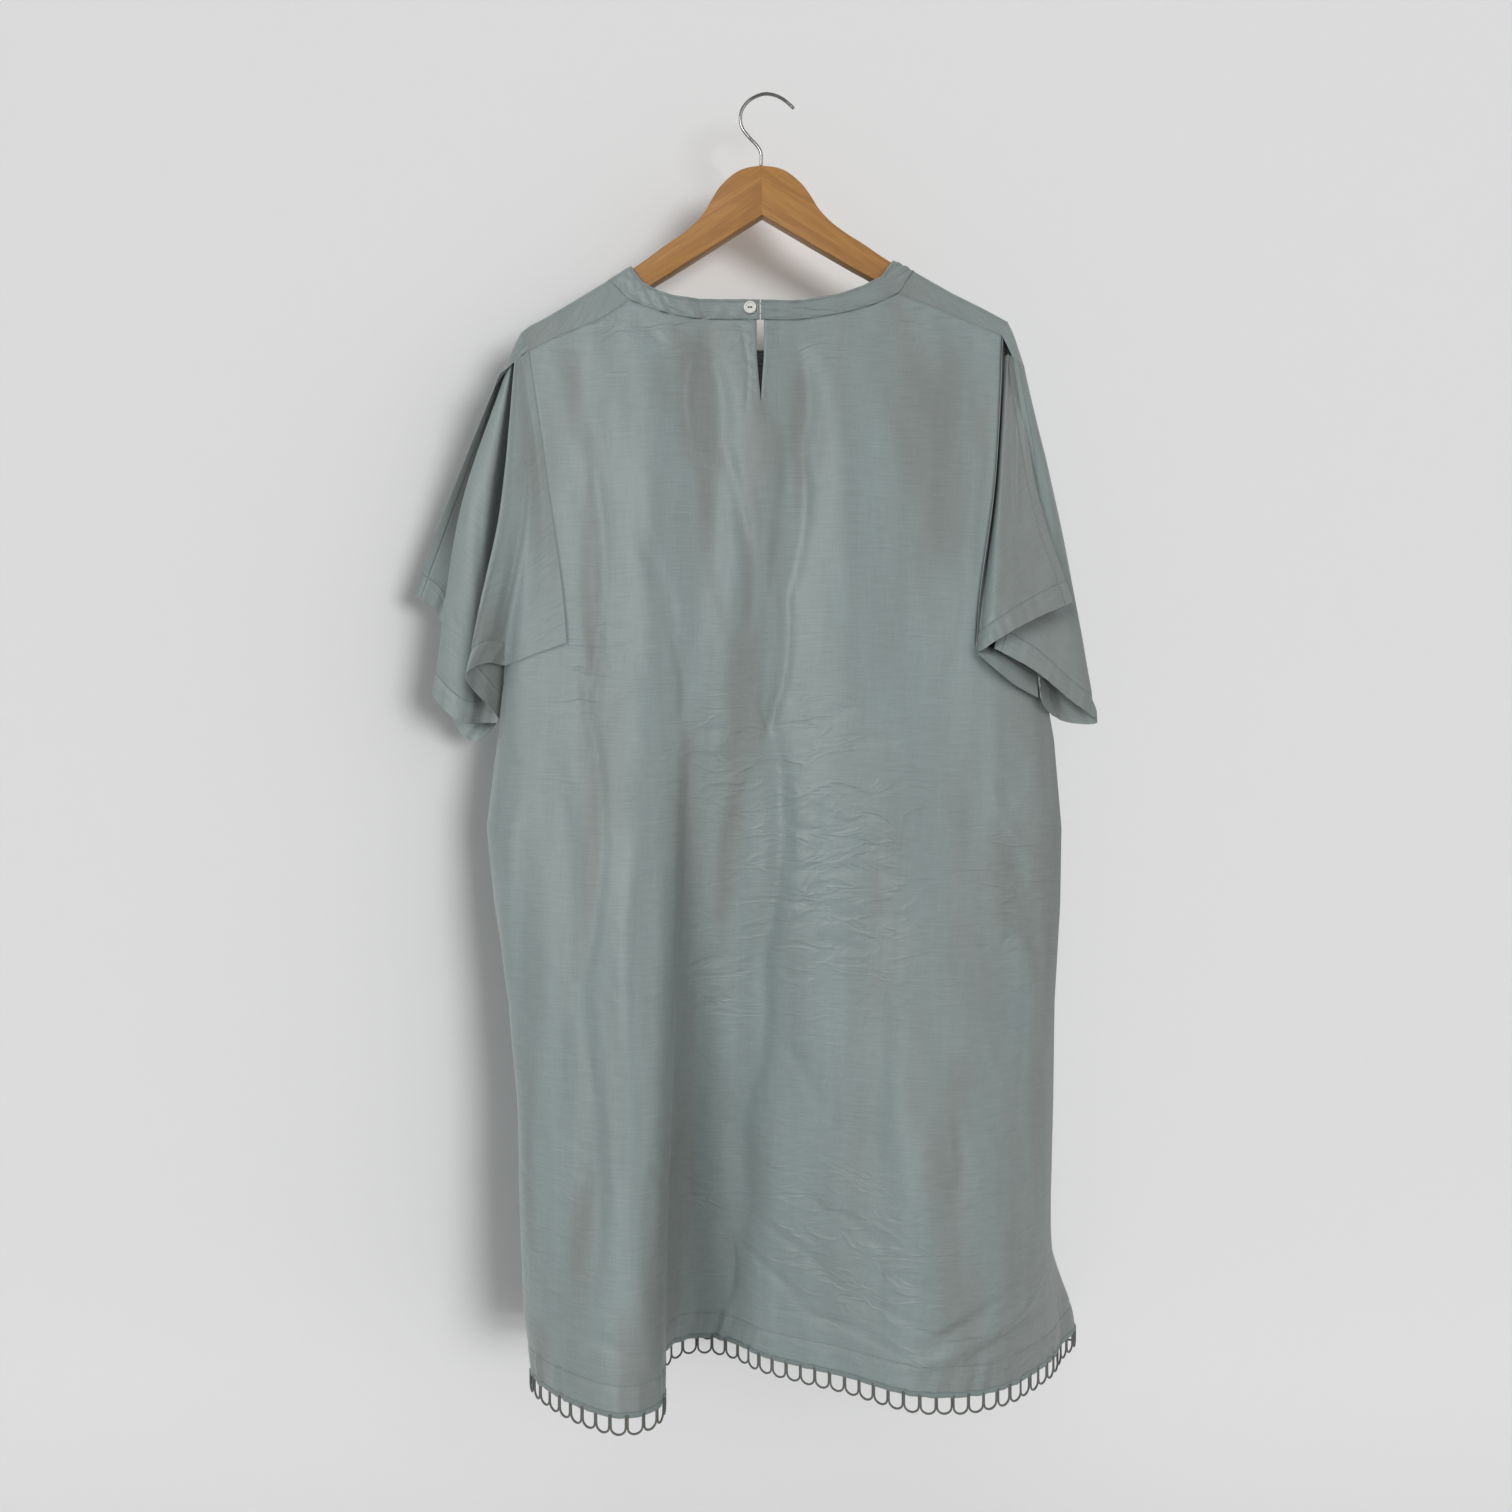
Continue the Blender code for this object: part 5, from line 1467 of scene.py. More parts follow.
def along_lines(name, lines, shape, pitch_label, pitch, upright, material, collection):
    """Copies of a shape along lines of points in centimetres, as one plain mesh."""
    vertices, edges = [], []
    for line in lines:
        start = len(vertices)
        vertices.extend((np.asarray(line) * CM).tolist())
        edges.extend((k, k + 1) for k in range(start, len(vertices) - 1))
    mesh = bpy.data.meshes.new(name + "_line")
    mesh.from_pydata(vertices, edges, [])
    made = linked(name, mesh, collection)
    tree, pitch_key, material_key = line_tree(name, shape, pitch_label, pitch, upright)
    nodes = made.modifiers.new(name, "NODES")
    nodes.node_group = tree
    nodes[pitch_key] = pitch
    nodes[material_key] = material
    made = settled(made)
    made.data.shade_smooth()
    if not made.data.materials:
        made.data.materials.append(material)
    return made


def stitch_shape(collection):
    """One stitch: a short fat thread along Z."""
    work = bmesh.new()
    bmesh.ops.create_uvsphere(work, u_segments=6, v_segments=4, radius=1.0)
    scale = (STITCH_RADIUS * CM, STITCH_RADIUS * CM, STITCH_LENGTH / 2 * CM)
    bmesh.ops.scale(work, verts=work.verts, vec=scale)
    return linked("stitch_shape", closed_work("stitch", work), collection)


def surface_line(points, rows, columns, lift, towards):
    """A line over a grid of points at fractional rows and columns, lifted off its surface."""
    rows, columns = np.broadcast_arrays(np.asarray(rows, dtype=float), np.asarray(columns, dtype=float))
    normals = grid_normals(points, towards)
    raised = points + normals * lift
    i = np.clip(rows.astype(int), 0, points.shape[0] - 2)
    j = np.clip(columns.astype(int), 0, points.shape[1] - 2)
    f, g = (rows - i)[:, None], (columns - j)[:, None]
    top = raised[i, j] * (1 - g) + raised[i, j + 1] * g
    bottom = raised[i + 1, j] * (1 - g) + raised[i + 1, j + 1] * g
    return top * (1 - f) + bottom * f


def row_above_foot(points, height, columns):
    """The fractional row that lies a height above the last row, for each column."""
    above = heights(points)
    numbers = np.arange(points.shape[0])[::-1]
    return np.array([np.interp(height, above[::-1, j], numbers) for j in columns])


def column_from_slit(points, distance, rows):
    """The fractional column that lies a distance in from the last column, for each row."""
    inside = insets(points)
    numbers = np.arange(points.shape[1])[::-1]
    return np.array([np.interp(distance, inside[i, ::-1], numbers) for i in rows])


# Materials


def new_material(name):
    made = bpy.data.materials.new(name)
    made.use_nodes = True
    tree = made.node_tree
    return made, tree, tree.nodes["Principled BSDF"]


def maths(tree, operation, *values, clamp=False):
    """Socket of a sum on sockets or numbers."""
    inputs = dict(enumerate(values))
    return node(tree, "ShaderNodeMath", inputs, operation=operation, use_clamp=clamp).outputs[0]


def stretched(tree, vector, factors):
    """Socket of a vector times a factor for each axis."""
    inputs = {0: vector, 1: factors}
    return node(tree, "ShaderNodeVectorMath", inputs, operation="MULTIPLY").outputs[0]


def scaled(tree, vector, factor):
    """Socket of a vector or colour times one factor."""
    inputs = {0: vector, "Scale": factor}
    return node(tree, "ShaderNodeVectorMath", inputs, operation="SCALE").outputs[0]


def noise(tree, vector, detail=2.0, roughness=0.5, distortion=0.0, scale=1.0):
    """Socket of a noise with values between 0 and 1."""
    made = node(tree, "ShaderNodeTexNoise", {"Vector": vector, "Scale": scale})
    feed_all(tree, made, {"Detail": detail, "Roughness": roughness, "Distortion": distortion})
    return made.outputs["Fac"]


def spread(tree, value, span, target, kind="LINEAR"):
    """Socket of a value moved from a span to a target span."""
    made = node(tree, "ShaderNodeMapRange", {"Value": value}, interpolation_type=kind)
    ends = {"From Min": span[0], "From Max": span[1], "To Min": target[0], "To Max": target[1]}
    return feed_all(tree, made, ends).outputs[0]


def bumped(tree, height, strength):
    """Socket of a surface direction that a height in metres disturbs."""
    inputs = {"Height": height, "Strength": strength, "Distance": 1.0}
    return node(tree, "ShaderNodeBump", inputs).outputs[0]


def object_place(tree):
    return node(tree, "ShaderNodeTexCoord").outputs["Object"]


def group(name, inputs, outputs):
    """A shader group with named float or vector sockets."""
    kinds = {"float": "NodeSocketFloat", "vector": "NodeSocketVector"}
    tree = bpy.data.node_groups.new(name, "ShaderNodeTree")
    for label, kind, value in inputs:
        socket = tree.interface.new_socket(label, in_out="INPUT", socket_type=kinds[kind])
        if value is not None:
            socket.default_value = value
    for label in outputs:
        tree.interface.new_socket(label, in_out="OUTPUT", socket_type=kinds["float"])
    return tree, tree.nodes.new("NodeGroupInput").outputs, tree.nodes.new("NodeGroupOutput")


def use_group(tree, name, build, inputs):
    """Outputs of a shader group, which is built when it is first used."""
    made = bpy.data.node_groups.get(name) or build(name)
    return node(tree, "ShaderNodeGroup", inputs, node_tree=made).outputs


def weave_group(name):
    """Fine uneven threads both ways, from a cloth's own UVs in metres."""
    inputs = [("UV", "vector", None), ("Thread pitch", "float", 0.0007)]
    tree, source, result = group(name, inputs, ("Height", "Tone"))
    density = maths(tree, "DIVIDE", 1.0, source["Thread pitch"])
    loose = maths(tree, "MULTIPLY", density, 0.03)
    layers = []
    for along, across in ((loose, density), (density, loose)):
        scale = node(tree, "ShaderNodeCombineXYZ", {"X": along, "Y": across, "Z": 1.0})
        threads = stretched(tree, source["UV"], scale.outputs[0])
        layers.append(noise(tree, threads, roughness=0.6))
    slubs = noise(tree, stretched(tree, source["UV"], (38.0, 520.0, 1.0)), 3.0, 0.7)
    upright = maths(tree, "MULTIPLY", layers[1], 0.28)
    level = maths(tree, "MULTIPLY_ADD", layers[0], 0.36, upright)
    both = maths(tree, "MULTIPLY_ADD", slubs, 0.36, level)
    feed_all(tree, result, {"Height": both, "Tone": spread(tree, both, (0.3, 0.7), (0.85, 1.15))})
    return tree


def tone_and_painted_shade_group(name):
    """Share of warm tone: soft upright streaks at random, the bands' painted sheen and shade, and painted
    shade and sheen on faces that turn towards +X.
    """
    inputs = [("Object", "vector", None), ("Normal", "vector", None), ("Band", "float", 0.0)]
    tree, source, result = group(name, inputs, ("Warm", "Pale"))
    streak = noise(tree, stretched(tree, source["Object"], (13.0, 6.0, 2.6)), 3.0, 0.55, 0.4)
    thin = noise(tree, stretched(tree, source["Object"], (46.0, 20.0, 5.0)), 3.0)
    # Painted shade and sheen: faces that turn towards +X take more of the darker warm tone
    turned = node(tree, "ShaderNodeSeparateXYZ", {"Vector": source["Normal"]})
    side = maths(tree, "MULTIPLY", turned.outputs["X"], 0.25)
    total = maths(tree, "ADD", streak, maths(tree, "MULTIPLY", thin, 0.35))
    total = maths(tree, "ADD", total, side)
    # The bands add their painted sheen and shade
    total = maths(tree, "MULTIPLY_ADD", source["Band"], 0.22, total)
    warm = spread(tree, total, (0.60, 0.92), (0.0, 1.0), "SMOOTHSTEP")
    feed_all(tree, result, {"Warm": warm, "Pale": spread(tree, thin, (0.35, 0.7), (0.93, 1.07))})
    return tree


def hem_line_group(name):
    """A pressed line and its shadow at a distance from an edge."""
    inputs = [("Distance", "float", 0.0), ("Hem", "float", 0.02)]
    tree, source, result = group(name, inputs, ("Line", "Step"))
    off = maths(tree, "SUBTRACT", source["Distance"], source["Hem"])
    near = maths(tree, "DIVIDE", off, 0.0007)
    square = maths(tree, "MULTIPLY", near, near)
    line = maths(tree, "POWER", 2.718, maths(tree, "MULTIPLY", square, -1.0))
    step = spread(tree, off, (-0.0006, 0.0006), (1.0, 0.0), "SMOOTHSTEP")
    feed_all(tree, result, {"Line": line, "Step": step})
    return tree


def cloth_material(name, settings, hem, edge_hem, shade=1.0):
    """Two-tone satin-faced cloth with uneven threads, creases and pressed hems, with painted sheen and
    shade in its warm tone and painted shade along its hem lines.
    """
    made, tree, shader = new_material(name)
    cut = node(tree, "ShaderNodeUVMap", uv_map="cut").outputs["UV"]
    crumple = node(tree, "ShaderNodeAttribute", attribute_name="crumple")
    weave = use_group(tree, "weave", weave_group, {"UV": cut, "Thread pitch": 0.0008})
    tone_inputs = {
        "Object": object_place(tree),
        "Normal": node(tree, "ShaderNodeNewGeometry").outputs["Normal"],
        "Band": node(tree, "ShaderNodeAttribute", attribute_name="warm").outputs["Fac"],
    }
    tones = use_group(tree, "two_tone", tone_and_painted_shade_group, tone_inputs)
    cool = tuple(c * shade for c in settings.cool_colour)
    warm = tuple(c * shade for c in settings.warm_colour)
    # The warm share holds painted sheen and shade as well as the cloth's random streaks
    mixed = colour_mix(tree, tones["Warm"], cool, warm)
    apart = node(tree, "ShaderNodeSeparateXYZ", {"Vector": cut}).outputs
    hem_line = use_group(tree, "hem_line", hem_line_group, {"Distance": apart["Y"], "Hem": hem * CM})
    marks, steps = hem_line["Line"], hem_line["Step"]
    if edge_hem:
        edge_inputs = {"Distance": apart["X"], "Hem": edge_hem * CM}
        edge_line = use_group(tree, "hem_line", hem_line_group, edge_inputs)
        marks = maths(tree, "MAXIMUM", marks, edge_line["Line"])
        steps = maths(tree, "MAXIMUM", steps, edge_line["Step"])
    shadow = maths(tree, "SUBTRACT", 1.0, maths(tree, "MULTIPLY", marks, 0.10))
    level = maths(tree, "MULTIPLY", weave["Tone"], tones["Pale"])
    level = maths(tree, "MULTIPLY", level, shadow)

    creases = noise(tree, stretched(tree, cut, (21.0, 50.0, 1.0)), distortion=0.9)
    off_line = maths(tree, "ABSOLUTE", maths(tree, "SUBTRACT", creases, 0.5))
    line = maths(tree, "SUBTRACT", 1.0, maths(tree, "DIVIDE", off_line, 0.1), clamp=True)
    soft = maths(tree, "MULTIPLY", creases, 3.0)
    amount = maths(tree, "MULTIPLY_ADD", crumple.outputs["Fac"], 0.95, 0.05)
    amount = maths(tree, "MULTIPLY", amount, 0.0007)
    crease_height = maths(tree, "MULTIPLY", maths(tree, "ADD", line, soft), amount)
    weave_height = maths(tree, "MULTIPLY", weave["Height"], 0.00016)
    step_height = maths(tree, "MULTIPLY", steps, 0.0004)
    groove = maths(tree, "MULTIPLY", marks, -0.0004)
    threads = maths(tree, "ADD", crease_height, weave_height)
    height = maths(tree, "ADD", threads, maths(tree, "ADD", step_height, groove))
    surface = {
        "Base Color": scaled(tree, mixed, level),
        "Normal": bumped(tree, height, 0.85),
        "Roughness": spread(tree, tones["Warm"], (0.0, 1.0), (0.47, 0.56)),
        "Specular IOR Level": 0.45,
        "Sheen Weight": 0.25,
        "Sheen Roughness": 0.4,
    }
    feed_all(tree, shader, surface)
    return made


def colour_mix(tree, share, first, second):
    """Socket of a colour between two, by a share."""
    made = node(tree, "ShaderNodeMix", data_type="RGBA")
    feed_all(tree, made, {0: share, 6: (*first, 1.0), 7: (*second, 1.0)})
    return made.outputs[2]


def cord_material(name, colour, pitch=0.0011):
    """Twisted cord with a matt fuzz."""
    made, tree, shader = new_material(name)
    fuzz = noise(tree, scaled(tree, object_place(tree), 1.0 / pitch), roughness=0.7)
    dark = tuple(c * 0.72 for c in colour)
    light = tuple(c * 1.28 for c in colour)
    height = maths(tree, "MULTIPLY", fuzz, 0.0004)
    surface = {
        "Base Color": colour_mix(tree, fuzz, dark, light),
        "Normal": bumped(tree, height, 0.8),
        "Roughness": 0.78,
        "Sheen Weight": 0.2,
    }
    feed_all(tree, shader, surface)
    return made


def wood_material(name, settings, side):
    """Varnished wood with its grain along the arm."""
    made, tree, shader = new_material(name)
    slope = {"Vector": object_place(tree), "Rotation": (0.0, side * -GRAIN_SLOPE, 0.0)}
    turned = node(tree, "ShaderNodeMapping", slope).outputs[0]
    rings = noise(tree, stretched(tree, turned, (9.0, 60.0, 110.0)), 4.0, 0.62, 0.9)
    pores = noise(tree, stretched(tree, turned, (60.0, 600.0, 1500.0)), roughness=0.6)
    share = maths(tree, "MULTIPLY_ADD", pores, 0.35, maths(tree, "MULTIPLY", rings, 0.85))
    ramp = spread(tree, share, (0.42, 0.78), (0.0, 1.0), "SMOOTHSTEP")
    height = maths(tree, "MULTIPLY", pores, 0.00012)
    surface = {
        "Base Color": colour_mix(tree, ramp, settings.light_wood, settings.dark_wood),
        "Normal": bumped(tree, height, 0.4),
        "Roughness": maths(tree, "MULTIPLY_ADD", rings, 0.16, 0.34),
        "Specular IOR Level": 0.35,
        "Coat Weight": 0.12,
        "Coat Roughness": 0.3,
    }
    feed_all(tree, shader, surface)
    return made


def chrome_material():
    """Bright wire with faint smears."""
    made, tree, shader = new_material("hook_chrome")
    smears = noise(tree, object_place(tree), 3.0, scale=160.0)
    surface = {
        "Base Color": colour_mix(tree, smears, (0.20, 0.195, 0.19), (0.42, 0.41, 0.40)),
        "Roughness": maths(tree, "MULTIPLY_ADD", smears, 0.16, 0.1),
        "Metallic": 1.0,
    }
    feed_all(tree, shader, surface)
    return made


def shell_material():
    """Pearly button with faint clouds."""
    made, tree, shader = new_material("button_shell")
    clouds = noise(tree, object_place(tree), 3.0, 0.6, 1.5, 420.0)
    surface = {
        "Base Color": colour_mix(tree, clouds, (0.60, 0.58, 0.52), (0.83, 0.82, 0.77)),
        "Roughness": maths(tree, "MULTIPLY_ADD", clouds, 0.12, 0.18),
        "Coat Weight": 0.5,
        "Coat Roughness": 0.12,
    }
    feed_all(tree, shader, surface)
    return made


def put_on(made, material):
    """Gives an object one material on all its faces."""
    made.data.materials.clear()
    made.data.materials.append(material)
    made.data.polygons.foreach_set("material_index", np.zeros(len(made.data.polygons), dtype=np.int32))
    return made


# Grids that later steps draw stitches and trim on
BUILT = {}


class DRESS_OT_panels(bpy.types.Operator):
    """Build the draped back and front panels"""

    bl_idname = "dress.panels"
    bl_label = "Panels"

    def execute(self, context):
        settings = context.scene.dress
        collection = dress_collection()
        back, back_points = build_back_panel(settings, collection)
        front, front_points, wrap_rows = build_front_panel(settings, collection, back_points)
        BUILT["back"] = back_points
        BUILT["front"] = front_points
        BUILT["wrap_rows"] = wrap_rows
        put_on(back, cloth_material("cloth_back", settings, BODY_HEM, None))
        put_on(front, cloth_material("cloth_front", settings, BODY_HEM, None, shade=0.95))
        as_piece(back, "cloth", "back_panel")
        as_piece(front, "cloth", "front_panel")
        return {"FINISHED"}


class DRESS_OT_sleeves(bpy.types.Operator):
    """Build the four sleeve halves"""

    bl_idname = "dress.sleeves"
    bl_label = "Sleeves"

    def execute(self, context):
        settings = context.scene.dress
        pieces = build_sleeves(settings, dress_collection())
        material = cloth_material("cloth_sleeve", settings, SLEEVE_HEM, SLIT_HEM)
        for name, (made, points) in pieces.items():
            put_on(made, material)
            as_piece(made, "cloth", name)
            BUILT[name] = points
        return {"FINISHED"}


class DRESS_OT_neck_band(bpy.types.Operator):
    """Build the band round the neck"""

    bl_idname = "dress.neck_band"
    bl_label = "Neck band"

    def execute(self, context):
        if "back" not in BUILT:
            raise RuntimeError("the neck band follows the panels: build them first")
        settings = context.scene.dress
        made, points = build_neck_band(
            settings, dress_collection(), BUILT["back"], BUILT["front"], BUILT["wrap_rows"]
        )
        put_on(made, cloth_material("cloth_band", settings, 0.25, None, shade=0.96))
        as_piece(made, "band", "neck_band")
        BUILT["band"] = points
        return {"FINISHED"}


class DRESS_OT_stitching(bpy.types.Operator):
    """Sew the hems, slits, facing and band with rows of stitches"""

    bl_idname = "dress.stitching"
    bl_label = "Stitching"

    def execute(self, context):
        collection = dress_collection()
        settings = context.scene.dress_trim
        shape = stitch_shape(collection)
        thread = cord_material("sewing_thread", settings.thread_colour, 0.0004)
        both_sides = (STITCH_LIFT, -STITCH_LIFT)
        lines = []
        ways = {"back": (0, -1, 0), "front": (0, 1, 0)}
        for key, towards in ways.items():
            points = BUILT[key]
            columns = np.arange(2, points.shape[1] - 2)
            rows = row_above_foot(points, BODY_HEM, columns)
            lines.append(surface_line(points, rows, columns, STITCH_LIFT, towards))
        for name in ("left_back", "left_front", "right_back", "right_front"):
            points = BUILT["sleeve_" + name]
            towards = ways[name.split("_")[1]]
            columns = np.arange(SLEEVE_SEAM_COLUMNS, points.shape[1] - 1)
            rows = row_above_foot(points, SLEEVE_HEM, columns)
            lines.extend(surface_line(points, rows, columns, side, towards) for side in both_sides)
            rows = np.arange(12, points.shape[0] - 1)
            columns = column_from_slit(points, SLIT_HEM, rows)
            lines.extend(surface_line(points, rows, columns, side, towards) for side in both_sides)
        lines.extend(self.facing_lines(BUILT["back"]))
        band = BUILT["band"]
        columns = np.arange(2, band.shape[1] - 2)
        lines.append(surface_line(band, BAND_STITCH_ROW, columns, BAND_STITCH_LIFT, (0, 0, 1)))
        made = along_lines(
            "stitches", lines, shape, "Stitch pitch", settings.stitch_pitch, False, thread, collection
        )
        bpy.data.objects.remove(shape, do_unlink=True)
        as_piece(made, "thread")
        return {"FINISHED"}

    def facing_lines(self, points):
        """The stitched box round the keyhole slit, and the row beside its right edge."""
        normals = grid_normals(points, (0, -1, 0))
        raised = points + normals * STITCH_LIFT
        x, depth = raised[..., 0], -raised[..., 2]

        def at(wanted_x, wanted_depth):
            row = int(np.argmin(np.abs(depth[: BACK_CELLS[1], MIDDLE_COLUMN] - wanted_depth)))
            return read_line(wanted_x, x[row], raised[row])

        left, right = FACING["left"], FACING["right"]
        corners = (
            (left, FACING["top"]),
            (left + FACING_TAPER[0], FACING["bottom"]),
            (right - FACING_TAPER[1], FACING["bottom"]),
            (right, FACING["top"]),
        )
        share = np.linspace(0, 1, 24)
        box = []
        for first, second in (*zip(corners, corners[1:]), SLIT_ROW):
            way = np.array(second) - first
            box.append(np.array([at(*(np.array(first) + way * f)) for f in share]))
        return box


class DRESS_OT_trim(bpy.types.Operator):
    """Hang the loop trim on the hem"""

    bl_idname = "dress.trim"
    bl_label = "Loop trim"

    def execute(self, context):
        collection = dress_collection()
        settings = context.scene.dress_trim
        cord = cord_material("trim_cord", settings.cord_colour)
        tape = cord_material("trim_tape", tuple(c * 0.8 for c in context.scene.dress.cool_colour))
        for key, node_name in (("back", "trim_back"), ("front", "trim_front")):
            points = BUILT[key][-1].copy()
            for end, inner in ((0, 1), (-1, -2)):
                points[end] += unit(points[inner] - points[end]) * SEAM_GAP
            count = TRIM_LOOPS[key]
            path = even_run(points, count * 6 + 1)
            length = float(np.sum(np.linalg.norm(np.diff(path, axis=0), axis=1)))
            pitch = length / count
            shape = loop_shape(pitch, collection)
            start = even_run(path, count * 2 + 1)
            middles = start[1:-1]
            made = along_lines(
                "loops_" + key, [middles], shape, "Loop pitch", pitch * CM * 0.9999, True, cord, collection
            )
            bpy.data.objects.remove(shape, do_unlink=True)
            header = header_tape("header_" + key, path, collection)
            put_on(made, cord)
            put_on(header, tape)
            joined = join([made, header], "trim_loops_" + key)
            as_piece(joined, "trim", node_name)
        return {"FINISHED"}


def loop_shape(pitch, collection):
    """One U-shaped loop of round cord, centred on its pitch, hanging down from the hem."""
    half = pitch / 2 - TRIM_CORD * 0.75
    bottom = -(TRIM_DROP - TRIM_CORD)
    route = [(-half, 0.0, 0.12), (-half, 0.0, -0.3), (-half, 0.0, -0.85)]
    for turn in np.linspace(math.pi, 2 * math.pi, 9)[1:-1]:
        route.append((half * math.cos(turn), 0.0, -0.95 + (bottom + 0.95) * -math.sin(turn)))
    route += [(half, 0.0, -0.85), (half, 0.0, -0.3), (half, 0.0, 0.12)]
    blank = bpy.data.materials.new("loop_blank")
    made = tube("loop_shape", wire_points(route, 26), TRIM_CORD, blank, collection, sides=2)
    made.data.materials.clear()
    bpy.data.materials.remove(blank)
    return made


def header_tape(name, path, collection):
    """The narrow tape that carries the loops along the hem."""
    count = len(path)
    along = np.gradient(path, axis=0)
    out = unit(np.stack((along[:, 1], -along[:, 0], np.zeros(count)), axis=1))
    rows = ((-0.10, 0.05), (0.05, 0.10), (0.2, 0.10), (TRIM_HEADER - 0.1, 0.07))
    outline = [*rows, *((height, -thick) for height, thick in reversed(rows))]
    vertices, faces = [], []
    for k in range(count):
        for height, side in outline:
            vertices.append((path[k] + out[k] * side + np.array((0.0, 0.0, height - 0.05))) * CM)
    ring = len(outline)
    for k in range(count - 1):
        for i in range(ring):
            n = (i + 1) % ring
            faces.append((k * ring + i, k * ring + n, (k + 1) * ring + n, (k + 1) * ring + i))
    faces.append(tuple(range(ring)))
    faces.append(tuple((count - 1) * ring + i for i in reversed(range(ring))))
    mesh = bpy.data.meshes.new(name)
    mesh.from_pydata([tuple(v) for v in vertices], [], faces)
    work = bmesh.new()
    work.from_mesh(mesh)
    bmesh.ops.recalc_face_normals(work, faces=work.faces)
    work.to_mesh(mesh)
    work.free()
    mesh.shade_smooth()
    return linked(name, mesh, collection)


def join(pieces, name):
    """One object from several, each with its own finish."""
    work = bmesh.new()
    finishes = []
    for piece in pieces:
        finish = piece.data.materials[0] if piece.data.materials else None
        if finish not in finishes:
            finishes.append(finish)
        slots = np.full(len(piece.data.polygons), finishes.index(finish), dtype=np.int32)
        piece.data.polygons.foreach_set("material_index", slots)
        work.from_mesh(piece.data)
    mesh = closed_work(name, work)
    collection = pieces[0].users_collection[0]
    for piece in pieces:
        bpy.data.objects.remove(piece, do_unlink=True)
    mesh.shade_smooth()
    for finish in finishes:
        mesh.materials.append(finish)
    return linked(name, mesh, collection)


class DRESS_OT_hanger(bpy.types.Operator):
    """Build the wooden arms and the wire hook"""

    bl_idname = "dress.hanger"
    bl_label = "Hanger"

    def execute(self, context):
        collection = dress_collection()
        settings = context.scene.dress_hanger
        for name, side in (("hanger_arm_left", -1), ("hanger_arm_right", 1)):
            made = hanger_arm("wood_" + name, side, collection)
            put_on(made, wood_material("varnished_" + name, settings, side))
            as_piece(made, "wood", name)
        chrome = chrome_material()
        route = [(x, 0.0, z) for x, z in HOOK_ROUTE]
        points = wire_points(route, 90)
        made = tube("wire_hook", points, 0.88 * WIRE_RADIUS, chrome, collection, sides=5)
        as_piece(made, "hook", "hanger_hook")
        return {"FINISHED"}


def hanger_outline():
    """Half the hanger's outline as distance and depth, with its long curves smoothed."""
    top = wire_points(HANGER_TOP, 64)
    tip = wire_points(HANGER_UNDER[:3], 7)
    return np.concatenate((top, tip, np.array(HANGER_UNDER[3:])))


def hanger_arm(name, side, collection):
    """One half of the wooden hanger, tilted with it about the hook's stem."""
    sine, cosine = math.sin(HANGER_TILT), math.cos(HANGER_TILT)
    outline = []
    for distance, depth in hanger_outline():
        x = side * max(distance, JOINT_GAP)
        z = HANGER_PIVOT_DEPTH - depth
        outline.append((HANGER_X + x * cosine - z * sine, x * sine + z * cosine - HANGER_PIVOT_DEPTH))
    half = HANGER_THICKNESS / 2
    work = bmesh.new()
    front = [work.verts.new((x * CM, -half * CM, z * CM)) for x, z in outline]
    back = [work.verts.new((x * CM, half * CM, z * CM)) for x, z in outline]
    work.faces.new(front)
    work.faces.new(back[::-1])
    count = len(outline)
    for k in range(count):
        n = (k + 1) % count
        work.faces.new((front[n], front[k], back[k], back[n]))
    bmesh.ops.recalc_face_normals(work, faces=work.faces)
    joint_x = (HANGER_X + side * JOINT_GAP) * CM
    under = np.array(HANGER_UNDER)[::-1]
    rounded, kept = [], []
    for edge in work.edges:
        a, b = (corner.co for corner in edge.verts)
        on_face = abs(a.y - b.y) < 0.0001
        at_joint = max(abs(a.x - joint_x), abs(b.x - joint_x)) < 0.2 * CM
        if on_face and not at_joint:
            middle = (a + b) / 2 / CM
            across = abs(middle.x - HANGER_X)
            limit = 0.4 - np.interp(across, under[:, 0], under[:, 1])
            (kept if middle.z < limit and across < 19.0 else rounded).append(edge)
    for edges, size in ((rounded, HANGER_ROUNDING), (kept, HANGER_UNDER_ROUNDING)):
        edges = [edge for edge in edges if edge.is_valid]
        bmesh.ops.bevel(work, geom=edges, offset=size * CM, segments=4, profile=0.5, affect="EDGES")
    bmesh.ops.triangulate(work, faces=[face for face in work.faces if len(face.verts) > 4])
    mesh = closed_work(name, work)
    mesh.shade_smooth()
    mesh.set_sharp_from_angle(angle=math.radians(32))
    return linked(name, mesh, collection)


def band_face(x, z):
    """Y of the band's outer face behind the neck."""
    place = draped(np.array([x]), np.array([-z - float(between(RIDGE, x))]), -1)
    return float(place[0, 1]) - 0.08


